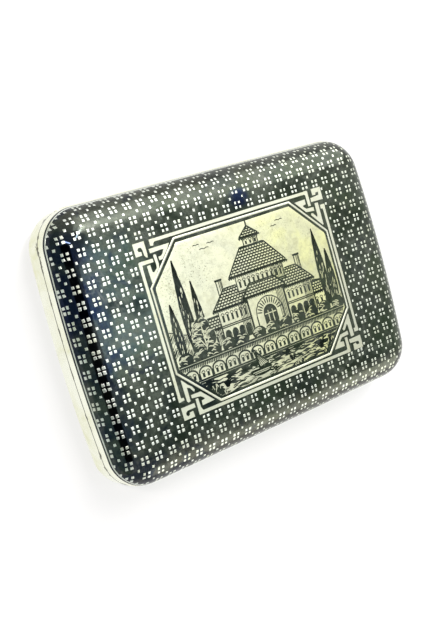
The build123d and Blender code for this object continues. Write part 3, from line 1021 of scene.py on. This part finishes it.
def draw_boat(pen, x, y, size):
    """A boat with a slanting sail: a dark hull with light seams, a mast, and shaded cloth."""
    sail = np.array(moved(((-0.2, 0.9), (3.8, 1.5), (-1.5, 7.8)), x, y, size, size))
    pen.cover(sail)
    pen.loop(sail, 1.6)
    for t in (0.2, 0.4, 0.6, 0.8):
        foot = sail[0] * (1 - t) + sail[1] * t
        pen.line([foot, foot + (sail[2] - foot) * 0.8], 0.9, 0.5)
    hull = arc(x, y, 4.2 * size, 1.6 * size, 188, 352, 15)
    pen.mass(np.concatenate([hull, moved(((4.7, 0.5), (-4.7, 0.5)), x, y, size, size)]), 1.4)
    for ends, width, taper, light in (
        (((-3.8, -0.2), (3.8, -0.2)), 0.9, 0.3, True),
        (((-3.2, -0.75), (3.2, -0.75)), 0.8, 0.3, True),
        (((-0.6, 0), (-0.5, 6.4)), 1.8, 0.0, False),
    ):
        pen.line(moved(ends, x, y, size, size), width, taper, light)


def draw_reeds(pen, x, low, count, tall):
    """A tuft: strokes that fan out from one foot and bend over at the tip."""
    t = np.linspace(0, 1, 7)
    fan = pen.random.uniform(-1, 1, count)[:, None]
    high = tall * pen.random.uniform(0.6, 1, count)[:, None]
    px = x + fan * (0.5 + 0.35 * tall * t**1.7)
    pen.lines(np.stack([px, low + high * t * (1 - 0.12 * np.abs(fan) * t)], -1), 1.5, 0.6)


# Operators


class CASE_OT_lid_shell(Operator):
    """The lid's sheet: outside, gilded inside and mouth, as one closed skin"""

    bl_idname = "case.lid_shell"
    bl_label = "Lid shell"

    def execute(self, context):
        form, ornament, finishes = settings_of(context)
        outline, normals = plan_columns(form)
        field = field_edge(ornament, normals)
        outer, inner = (lid_rows(form, outline, normals, depth, field) for depth in (0.0, form.sheet))
        rows, columns = outer.shape[:2]
        top = form.mouth + form.height
        tops = [(0, 0, top), (0, 0, top - form.sheet)]
        points = np.concatenate([outer.reshape(-1, 3), inner.reshape(-1, 3), tops])
        start, last = rows * columns, (rows - 1) * columns
        ring = np.arange(columns)
        after = (ring + 1) % columns
        outside = loop_faces(rows, columns)
        cap = np.stack([ring + last, after + last, np.full(columns, 2 * start)], -1)
        parts = (
            (outside, np.arange(len(outside)) // columns >= FIELD_ROW),
            (outside[:, ::-1] + start, 2),
            (np.stack([ring, ring + start, after + start, after], -1), 0),
            (cap, 1),
            ((cap + (start, start, 1))[:, (1, 0, 2)], 2),
        )
        faces = [face for part, _ in parts for face in part.tolist()]
        slots = np.concatenate([np.broadcast_to(slot, len(part)) for part, slot in parts])
        materials = [finishes["bright_silver"], finishes["niello"], finishes["gilt"]]
        piece = add_object("lid_shell", points, faces, materials, slots)
        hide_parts("lid_cover")
        return {"FINISHED"}


class CASE_OT_border(Operator):
    """The thin silver line that runs round the field, at one distance from the niello's edge"""

    bl_idname = "case.border"
    bl_label = "Border line"

    def execute(self, context):
        form, ornament, finishes = settings_of(context)
        outline, normals = plan_columns(form)
        half = ornament.border_line / 2
        middle = field_edge(ornament, normals) + ornament.border_gap + half
        rails = []
        for reach, lift in section(half, SLOPE, ornament.relief, -ornament.relief / 2):
            run, turn = roll_inset(form, outline, normals, middle - reach)
            plan = outline - normals * (run - lift * np.cos(turn))[:, None]
            rails.append(np.column_stack([plan, form.mouth + middle - reach + lift * np.sin(turn)]))
        faces = loop_faces(4, len(outline))
        piece = add_object("lid_border_line", rails, faces, [finishes["inlay_silver"]])
        return {"FINISHED"}


CROSSES_ALONG, CROSSES_ACROSS = np.arange(-16, 16), np.arange(-11, 12)  # counted from the middle
FRAME_HALF = np.array([34.65, 26.1]) * MM  # half the place that the frame takes
RIM_GAP = 0.1 * MM  # between the border line and a square
THINNEST = 0.3 * MM  # a square that the border or the frame cuts thinner is left out


class CASE_OT_lattice(Operator):
    """The hand-cut lattice of crosses and single squares on the unrolled face"""

    bl_idname = "case.lattice"
    bl_label = "Lattice"

    def unrolled(self, form):
        """Arc length against plan distance, along the case's two middle lines."""
        tables = []
        for reach, x, y in ((form.half_length, 1, 0), (form.half_width, 0, 1)):
            at = np.linspace(0, reach, 6001)
            z = lid_height_at(form, x * at, y * at)
            tables.append((np.concatenate([[0], np.cumsum(np.hypot(np.diff(at), np.diff(z)))]), at))
        return tables

    def squares(self, tables, wander, random, centres, side):
        """Cut squares, each with eight corners that are a little off, as outlines in plan.

        They swell and shrink in waves over the face and are smaller to the right, and those on the
        rolls of the long sides are taller.
        """
        count = len(centres)
        middle = centres + random.normal(0, wander * 0.5, centres.shape)
        swell = 1 + 0.07 * np.sin(centres[:, 0] / (9 * MM) + 1) * np.cos(centres[:, 1] / (13 * MM))
        swell -= np.interp(centres[:, 0], (-48 * MM, -24 * MM, 30 * MM), (-0.05, 0.04, 0.06))
        half = side / 2 * swell[:, None, None] * random.normal(1, 0.08, (count, 1, 2))
        tall = 1.08 + 0.12 * np.exp(-(((np.abs(centres[:, 1]) / MM - 34) / 3) ** 2))
        half[..., 1] *= tall[:, None]
        cut = random.uniform(0.84, 0.98, (count, 1, 1))
        ring = np.repeat([(1, 1), (-1, 1), (-1, -1), (1, -1)], 2, axis=0)
        ring = np.roll(ring, 1, axis=0).astype(float)
        short = np.tile([(0, 1), (0, 1), (1, 0), (1, 0)], (2, 1))
        shape = ring * (1 - short * (1 - cut)) * half + random.normal(0, wander * 0.4, (count, 8, 2))
        turn = random.normal(0, 0.05, (count, 1))
        x = shape[..., 0] * np.cos(turn) - shape[..., 1] * np.sin(turn) + middle[:, :1]
        y = shape[..., 0] * np.sin(turn) + shape[..., 1] * np.cos(turn) + middle[:, 1:]
        return np.stack([np.sign(v) * np.interp(np.abs(v), *t) for v, t in zip((x, y), tables)], -1)

    def beside_frame(self, outlines):
        """Outlines with the corners that fall into the frame moved out to its nearer edge."""
        outlines = outlines.copy()
        within = (np.abs(outlines) < FRAME_HALF).all(-1)
        nearer = (np.abs(outlines.mean(1, keepdims=True)) - FRAME_HALF).argmax(-1)
        for axis in (0, 1):
            side = np.where(outlines[..., axis] < 0, -1, 1)
            moves = within & (nearer == axis)
            outlines[..., axis] = np.where(moves, side * FRAME_HALF[axis], outlines[..., axis])
        return outlines

    def execute(self, context):
        form, ornament, finishes = settings_of(context)
        wander, random = ornament.wander, np.random.default_rng(ornament.seed)
        i, j = np.meshgrid(CROSSES_ALONG, CROSSES_ACROSS, indexing="ij")
        column, row = (np.cumsum(random.normal(0, 0.25 * wander, n)) for n in i.shape)
        drift = np.moveaxis(random.normal(0, wander, (2, 2, *i.shape)), 1, -1)
        x = ornament.first_along + i * ornament.pitch_along + 0.4 * row
        y = ornament.first_across + j * ornament.pitch_across + 0.4 * column[:, None]
        beside = np.clip((np.abs(y) / MM - 15) / 10, 0, 1) * np.clip((x / MM + 35) / 30, 0, 1)
        crosses = np.stack([x, y + ornament.row_drift * np.sign(y) * beside], -1)
        between = crosses + np.array((ornament.pitch_along, ornament.pitch_across)) / 2
        quarter = np.array([(1, 1), (-1, 1), (-1, -1), (1, -1)]) * ornament.spread
        tables = self.unrolled(form)
        for name, centres, side in (
            ("lid_crosses", (crosses + drift[0])[..., None, :] + quarter, ornament.square),
            ("lid_single_squares", between + drift[1], ornament.dot),
        ):
            centres = centres.reshape(-1, 2)
            near = (np.abs(centres) < (tables[0][0][-1], tables[1][0][-1])).all(-1)
            outlines = self.squares(tables, wander, random, centres[near], side)
            depth, nx, ny = inset_at(form, outlines[..., 0], outlines[..., 1])
            out = np.stack([nx, ny], -1)
            flat_out = out.reshape(-1, 2)
            rim = field_edge(ornament, flat_out) + ornament.border_gap + ornament.border_line + RIM_GAP
            outline = outlines.reshape(-1, 2) + flat_out * depth.reshape(-1, 1)
            run = roll_inset(form, outline, flat_out, rim)[0]
            short = np.clip(run.reshape(depth.shape) - depth, 0, None)
            outlines = self.beside_frame(outlines - out * short[..., None])
            wide = (outlines.max(1) - outlines.min(1)).min(1)
            keep = ((short > 0).mean(1) < 0.6) & (wide > THINNEST)
            points, faces = pads(outlines[keep], 1.3 * ornament.relief, form, 0.74)
            piece = add_object(name, points, faces, [finishes["inlay_silver"]], smooth=False)
        return {"FINISHED"}


FRAME_SCALE = 1.00877  # by which the frame and the picture's edge grow to their place on the lid
# The frame's key pieces, in millimetres on the plan, each an outline of silver
TOP_RIGHT_KEYS = (
    ((27.5, 25.7), (27.5, 24.65), (27.85, 24.5), (27.9, 20.95), (28.9, 20.9), (28.95, 25.4),
     (28.7, 25.7)),
    ((30.5, 25.75), (30.6, 23.8), (31.75, 23.75), (32.0, 24.4), (33.1, 24.45), (33.0, 23.5),
     (31.9, 23.35), (29.5, 23.15), (29.4, 22.0), (34.2, 21.9), (34.25, 25.75)),
    ((23.0, 23.2), (26.5, 19.5), (29.65, 19.2), (29.7, 20.35), (26.85, 20.45), (26.0, 21.2),
     (25.85, 21.65), (27.1, 21.85), (27.15, 23.3)),
    ((30.55, 21.35), (30.4, 17.6), (30.1, 17.1), (28.9, 18.55), (28.3, 18.7), (28.0, 18.2), (31.5, 14.3),
     (31.75, 14.4), (31.85, 21.3)),
    ((32.4, 20.35), (32.4, 19.2), (33.1, 19.15), (33.15, 18.4), (34.1, 18.4), (34.2, 20.4)),
)
LEFT_KEYS = (
    ((-28.5, 25.05), (-28.5, 23.3), (-27.6, 23.2), (-27.4, 23.8), (-26.9, 24.15), (-26.9, 25.1)),
    ((-29.3, 22.6), (-29.25, 21.4), (-25.6, 21.6), (-24.85, 21.5), (-25.6, 20.4), (-26.1, 19.95),
     (-27.1, 19.85), (-27.05, 18.85), (-26.0, 18.95), (-23.8, 21.2), (-22.7, 22.65)),
    ((-33.7, 25.0), (-33.7, 21.4), (-31.75, 21.45), (-31.7, 22.4), (-32.5, 22.6), (-32.7, 23.2),
     (-32.2, 23.7), (-31.5, 23.6), (-31.2, 23.0), (-31.1, 21.2), (-30.6, 20.6), (-30.3, 20.55),
     (-30.1, 21.5), (-30.1, 25.05)),
    ((-33.65, 18.0), (-32.65, 18.0), (-32.6, 18.85), (-29.0, 18.9), (-29.0, 19.85), (-33.2, 19.85),
     (-33.6, 19.6)),
    ((-31.3, 18.3), (-31.2, 13.7), (-31.0, 13.5), (-28.6, 16.2), (-27.9, 16.9), (-27.6, 18.0),
     (-27.65, 20.6), (-28.2, 20.85), (-28.55, 20.6), (-28.4, 17.8), (-28.6, 17.0), (-29.7, 16.15),
     (-30.15, 16.4), (-30.25, 18.4)),
    ((-33.8, -18.2), (-33.75, -19.9), (-31.95, -19.7), (-32.0, -19.0), (-32.75, -18.9), (-32.85, -18.2)),
    ((-31.4, -14.2), (-31.3, -20.3), (-30.9, -20.8), (-30.25, -20.6), (-30.2, -16.7), (-29.3, -17.1),
     (-28.6, -18.2), (-28.3, -18.5), (-28.0, -18.0), (-28.6, -16.9), (-29.6, -16.1), (-31.1, -14.35)),
    ((-29.6, -19.1), (-29.6, -20.0), (-26.8, -20.35), (-25.75, -21.2), (-25.8, -21.55), (-26.85, -21.6),
     (-26.9, -23.0), (-22.8, -22.8), (-26.4, -19.15)),
    ((-28.65, -25.2), (-26.9, -25.2), (-26.9, -24.3), (-27.2, -24.2), (-27.6, -23.3), (-27.75, -20.6),
     (-28.6, -20.6)),
    ((-33.7, -21.5), (-33.7, -25.1), (-30.2, -25.1), (-30.3, -23.4), (-31.45, -23.5), (-31.6, -24.1),
     (-32.2, -24.3), (-32.65, -23.9), (-32.6, -23.2), (-32.0, -22.75), (-29.3, -22.7), (-29.3, -21.5)),
)
FRAME_BARS = (
    ((-26.95, 24.6), (-10, 24.85), (10, 25.1), (27.55, 25.17)),
    ((-26.95, -24.75), (-10, -24.85), (10, -25.0), (27.55, -25.2)),
    ((-33.15, 18.1), (-33.25, 0), (-33.3, -18.3)),
    ((33.62, 18.5), (33.6, 0), (33.6, -18.5)),
)
OCTAGON = np.array(
    [(-20.9, 23.45), (20.9, 23.85), (32.35, 12.2), (32.3, -12.4)]
    + [(21.0, -23.75), (-20.7, -23.65), (-32.0, -12.1), (-31.9, 12.2)]
)
OCTAGON_HALF, PICTURE_GAP = np.array([32.2, 23.7]), 0.8  # half its size, and from it in to the picture


class CASE_OT_frame(Operator):
    """The silver frame: four bars, keys at the corners and the eight-sided line"""

    bl_idname = "case.frame"
    bl_label = "Frame"

    def execute(self, context):
        form, ornament, finishes = settings_of(context)
        silver, relief = [finishes["frame_silver"]], ornament.relief
        scale = FRAME_SCALE * MM
        mirrored = [[(x, -y) for x, y in outline][::-1] for outline in TOP_RIGHT_KEYS]
        keys = (*TOP_RIGHT_KEYS, *LEFT_KEYS, *mirrored)
        parts = [pads(np.array([outline]) * scale, relief, form) for outline in keys]
        for path in FRAME_BARS:
            run = resample(path, 40)[None] * scale
            parts.append(strokes(run, np.full((1, 40), ornament.bar), np.ones((1, 40), bool), relief, form))
        piece = add_object("panel_frame", *joined(parts), silver, smooth=False)
        loop = OCTAGON * scale
        along = np.stack([loop - np.roll(loop, 1, axis=0), np.roll(loop, -1, axis=0) - loop])
        along /= np.linalg.norm(along, axis=-1, keepdims=True)
        out = np.stack([-along[..., 1], along[..., 0]], -1)
        mitre = out.sum(0) / (1 + (out[0] * out[1]).sum(-1, keepdims=True))
        t = np.linspace(0, 1, 14, endpoint=False)[None, :, None]
        rails = []
        for reach, lift in section(ornament.fine_bar / 2, SLOPE, relief, -relief / 2):
            corners = loop + mitre * reach
            ring = (corners[:, None] * (1 - t) + np.roll(corners, -1, axis=0)[:, None] * t).reshape(-1, 2)
            rails.append(on_lid(form, ring[:, 0], ring[:, 1], lift))
        piece = add_object("panel_octagon", rails, loop_faces(4, len(rails[0])), silver)
        return {"FINISHED"}


class CASE_OT_picture(Operator):
    """The picture: a speckled silver ground with a garden house, trees and a boat engraved in niello"""

    bl_idname = "case.picture"
    bl_label = "Picture"

    def ground(self, edge, relief, form):
        """A sheet that fills the eight-sided edge: level rows of points from side to side, rim sunk."""
        count = 60
        y = np.linspace(edge[:, 1].min() + 0.1, edge[:, 1].max() - 0.1, count)
        probe = np.linspace(-33, 33, 6601)
        hit = inside(edge, *np.meshgrid(probe, y))
        first, last = probe[hit.argmax(1)], probe[::-1][hit[:, ::-1].argmax(1)]
        x = first[:, None] + (last - first)[:, None] * np.linspace(0, 1, count)
        lift = np.full(x.shape, relief)
        lift[[0, -1]] = lift[:, [0, -1]] = -relief / 2
        points = on_lid(form, x * MM, np.broadcast_to(y[:, None], x.shape) * MM, lift)
        return points, grid_faces(np.arange(x.size).reshape(x.shape))

    def execute(self, context):
        form, ornament, finishes = settings_of(context)
        edge = OCTAGON * FRAME_SCALE * (1 - PICTURE_GAP / OCTAGON_HALF)
        ground = self.ground(edge, ornament.relief, form)
        piece = add_object("panel_ground", *ground, [finishes["panel_silver"]])
        pen = Drawing(form, ornament, edge * 0.992)
        steps = (
            (draw_hills,),
            (draw_birds,),
            (draw_cypress, -20.0, -9.0, 11.0, 1.4),
            (draw_cypress, 29.6, -9.0, 7.5, 1.5),
            (draw_garden_house, 3.5),
            (draw_cypress, -24.0, FLOOR, 18.0, 1.8),
            (draw_cypress, -28.4, FLOOR, 6.5, 1.5),
            (draw_cypress, 26.4, FLOOR, 14.5, 1.7),
            (draw_tree, -20.6, -10.4, 0.2, 3.4),
            (draw_shore,),
            (draw_water,),
            (draw_bank, -21.5, 6.0, -19.6),
            (draw_bank, 9.0, 5.0, -21.6),
            (draw_bank, 22.5, 5.5, -19.4),
            (draw_reeds, -24, -21.2, 22, 3.2),
            (draw_reeds, -17.5, -21.2, 18, 2.6),
            (draw_reeds, 18.5, -21.2, 20, 3.2),
            (draw_reeds, 23.5, -21.2, 14, 3.4),
            (draw_reeds, 7, -21.2, 14, 2.2),
            (draw_boat, -5.0, -20.2, 0.85),
        )
        for draw, *numbers in steps:
            draw(pen, *numbers)
        for name, light, finish, slot in (
            ("panel_drawing", False, "niello", "niello_silver"),
            ("panel_lights", True, "panel_silver", "silver"),
        ):
            piece = add_object(name, *pen.finish(light), [finishes[finish]], smooth=False)
        return {"FINISHED"}


class CASE_OT_silver_parts(Operator):
    """Finishes of the base, hinge and button"""

    bl_idname = "case.silver_parts"
    bl_label = "Silver parts"

    def execute(self, context):
        finishes = finish_materials()
        give(["base_pan"], finishes["lined_silver"])
        give(["push_button", "button_collar"], finishes["bright_silver"])
        give([n for n in nodes if "knuckle" in n or "plug" in n], finishes["hinge_silver"])
        return {"FINISHED"}


class CASE_OT_inner_parts(Operator):
    """Finishes of the gilded strips and the catch"""

    bl_idname = "case.inner_parts"
    bl_label = "Inner parts"

    def execute(self, context):
        finishes = finish_materials()
        catch = ["catch_spring", "spring_rivet_left", "spring_rivet_right", "button_clip", "hinge_pin"]
        give([n for n in nodes if "liner" in n or "bearer" in n or "bezel" in n], finishes["gilt"])
        give(catch, finishes["spring_strip"])
        return {"FINISHED"}


# The fitted camera: its place and aim in mm, its roll, and its focal length in the photograph's pixels
EYE, AIM, ROLL = (-148.51, 27.08, 237.68), (-10.40, -1.43, 11.26), math.radians(-16.254)
FOCAL_PIXELS, TALL_PIXELS, SENSOR = 900.8, 631, 36
# Cards that only gloss sees: the dark behind the camera, a dim low card on the left, a dim ceiling
CARDS = (
    ("dark_card", (0.004, 0.005, 0.008),
     [(-0.402, -0.212, 0.173), (-0.390, 0.014, 0.271), (-0.425, 0.126, 0.191)],
     [(-0.250, -0.215, 0.343), (-0.207, 0.010, 0.410), (-0.264, 0.125, 0.371)]),
    ("dim_card", (0.58, 0.7, 0.64),
     [(-0.21, -0.3, 0), (-0.21, 0.3, 0)], [(-0.21, -0.3, 0.12), (-0.21, 0.3, 0.12)]),
    ("ceiling", (0.55, 0.62, 0.58),
     [(0.2, -0.52, 1), (1.3, -0.52, 1)], [(0.2, -0.23, 1), (1.3, -0.23, 1)]),
)


class CASE_OT_stage(Operator):
    """Floor, room light, lamps and the camera at the photograph's angle"""

    bl_idname = "case.stage"
    bl_label = "Stage"

    def stand(self, name, data, place, ahead, side):
        """Puts a lamp or camera in place, looking ahead, with side to its right."""
        thing = bpy.data.objects.new(name, data)
        turn = Matrix(np.column_stack([side, np.cross(side, ahead), -ahead]).tolist()).to_4x4()
        thing.matrix_world = Matrix.Translation(Vector(place)) @ turn
        bpy.context.scene.collection.objects.link(thing)
        return thing

    def lamp(self, name, place, target, size, energy, across, tint=(1, 1, 1)):
        """A soft lamp aimed at a point; size is its width along the given direction and its height."""
        light = bpy.data.lights.new(name, "AREA")
        light.shape = "RECTANGLE"
        light.size, light.size_y = size
        light.energy, light.color = energy, tint
        ahead = np.subtract(target, place)
        ahead /= np.linalg.norm(ahead)
        side = across - ahead * ahead.dot(across)
        self.stand(name, light, place, ahead, side / np.linalg.norm(side))

    def room(self, fill):
        """White for the camera, gloss and glass, and a softer light on everything else."""
        world = bpy.data.worlds.new("room")
        bpy.context.scene.world = world
        world.use_nodes = True
        tree = Tree(world.node_tree)
        path = tree.put("ShaderNodeLightPath").outputs
        seen = tree.calc("MAXIMUM", path["Is Camera Ray"], path["Is Glossy Ray"])
        seen = tree.calc("MAXIMUM", seen, path["Is Transmission Ray"])
        level = tree.put("ShaderNodeMapRange", {0: seen, 1: 0.0, 2: 1.0, 3: fill, 4: 1.0})
        background = world.node_tree.nodes["Background"].inputs
        tree.feed((1, 1, 1), background["Color"])
        tree.feed(level.outputs[0], background["Strength"])

    def sheet(self, name, points, faces):
        """A flat piece of the stage: itself, its material's tree and the material's output."""
        mesh = bpy.data.meshes.new(name)
        mesh.from_pydata(points, [], faces)
        piece = bpy.data.objects.new(name, mesh)
        bpy.context.scene.collection.objects.link(piece)
        material = bpy.data.materials.new(name)
        material.use_nodes = True
        material.node_tree.nodes.clear()
        mesh.materials.append(material)
        tree = Tree(material.node_tree)
        return piece, tree, tree.put("ShaderNodeOutputMaterial").inputs["Surface"]

    def floor(self, tint):
        """A pale floor that is nearly white to the camera and keeps the case's shadow."""
        corners = [(x, y, -0.02 * MM) for x, y in ((-3, -3), (3, -3), (3, 3), (-3, 3))]
        floor, tree, surface = self.sheet("floor", corners, [(0, 1, 2, 3)])
        tree.vector = tree.put("ShaderNodeTexCoord").outputs["Object"]
        shade = tree.mix(tree.noise(400, 4), [0.99 * c for c in tint], tint)
        paper = tree.put("ShaderNodeBsdfDiffuse", {"Color": shade})
        glow = tree.put("ShaderNodeEmission", {"Color": (1, 1, 1), "Strength": 1.0})
        path = tree.put("ShaderNodeLightPath").outputs
        away = tree.vectors("LENGTH", tree.vector, output="Value")
        seen = tree.times(path["Is Camera Ray"], tree.ramp(away, 0.15, 0.8, 0.62, 1.0))
        part = tree.add(seen, tree.times(path["Is Glossy Ray"], 0.9))
        both = tree.put("ShaderNodeMixShader", {0: part, 1: paper.outputs[0], 2: glow.outputs[0]})
        tree.feed(both.outputs[0], surface)

    def card(self, name, tint, lower, upper):
        """A card of two rows of corners, seen only in gloss; it gives off its own dim colour."""
        count = len(lower)
        faces = [(i, i + 1, count + i + 1, count + i) for i in range(count - 1)]
        card, tree, surface = self.sheet(name, lower + upper, faces)
        tree.feed(tree.put("ShaderNodeEmission", {"Color": tint, "Strength": 1.0}).outputs[0], surface)
        card.visible_camera = card.visible_diffuse = card.visible_shadow = card.visible_transmission = False

    def camera(self):
        """The fitted camera, turned about its line of sight by the roll."""
        ahead = np.subtract(AIM, EYE)
        ahead /= np.linalg.norm(ahead)
        level = np.cross(ahead, (0, 1, 0))
        level /= np.linalg.norm(level)
        data = bpy.data.cameras.new("camera")
        data.sensor_width = SENSOR
        data.lens = FOCAL_PIXELS * SENSOR / TALL_PIXELS
        data.clip_start, data.clip_end = 0.01, 20
        side = math.cos(ROLL) * level + math.sin(ROLL) * np.cross(level, ahead)
        bpy.context.scene.camera = self.stand("camera", data, np.array(EYE) * MM, ahead, side)

    def execute(self, context):
        stage = context.scene.case_stage
        context.scene.view_settings.view_transform = "Standard"
        self.floor(stage.floor)
        self.room(stage.fill)
        middle, corner, below = (0, 0, 0.01), (-0.046, 0.033, 0.02), (0.09, -0.05, 0)
        dimmer = 0.9 * stage.tube
        for lamp in (
            ("window", (0.60, 0.76, 0.72), middle, (1.3, 1.2), stage.window, (1, -0.8, 0)),
            ("bounce", (0.5, -0.85, 0.27), middle, (1.0, 0.5), stage.bounce, (1, 0.6, 0), (1, 0.98, 0.9)),
            ("skylight", (0.09, -0.05, 1.0), below, (0.72, 0.22), stage.skylight, (1, 0, 0), (0.88, 0.98, 1)),
            ("tube", (0.104, 0.32, 0.6), corner, (0.40, 0.035), stage.tube, (0.3, 0.27, 0), (1, 0.95, 0.97)),
            ("lamp", (-0.42, 0.245, 0.6), corner, (0.36, 0.03), dimmer, (0.31, -0.18, 0), (1, 0.9, 0.9)),
        ):
            self.lamp(*lamp)
        for card in CARDS:
            self.card(*card)
        self.camera()
        return {"FINISHED"}


class CASE_PT_panel(Panel):
    """Sizes, finishes and the steps that build the case"""

    bl_idname = "CASE_PT_panel"
    bl_label = "Tobacco case"
    bl_space_type = "VIEW_3D"
    bl_region_type = "UI"
    bl_category = "Case"

    def draw(self, context):
        for step in STEPS:
            self.layout.operator(step.bl_idname)
        for name, group in GROUPS.items():
            box = self.layout.box()
            box.label(text=group.__doc__)
            for prop in group.__annotations__:
                box.prop(getattr(context.scene, name), prop)


GROUPS = {
    "case_form": CaseForm,
    "case_ornament": Ornament,
    "case_finish": Finish,
    "case_stage": StageSettings,
}
STEPS = (
    CASE_OT_lid_shell,
    CASE_OT_border,
    CASE_OT_lattice,
    CASE_OT_frame,
    CASE_OT_picture,
    CASE_OT_silver_parts,
    CASE_OT_inner_parts,
    CASE_OT_stage,
)
CLASSES = (*GROUPS.values(), *STEPS, CASE_PT_panel)


def register():
    """Registers the settings, the steps and the panel."""
    for kind in CLASSES:
        bpy.utils.register_class(kind)
    for name, group in GROUPS.items():
        setattr(bpy.types.Scene, name, PointerProperty(type=group))


def unregister():
    """Takes them away again."""
    for name in GROUPS:
        delattr(bpy.types.Scene, name)
    for kind in reversed(CLASSES):
        bpy.utils.unregister_class(kind)


def main():
    register()
    for step in STEPS:
        area, name = step.bl_idname.split(".")
        getattr(getattr(bpy.ops, area), name)()


if __name__ == "__main__":
    main()
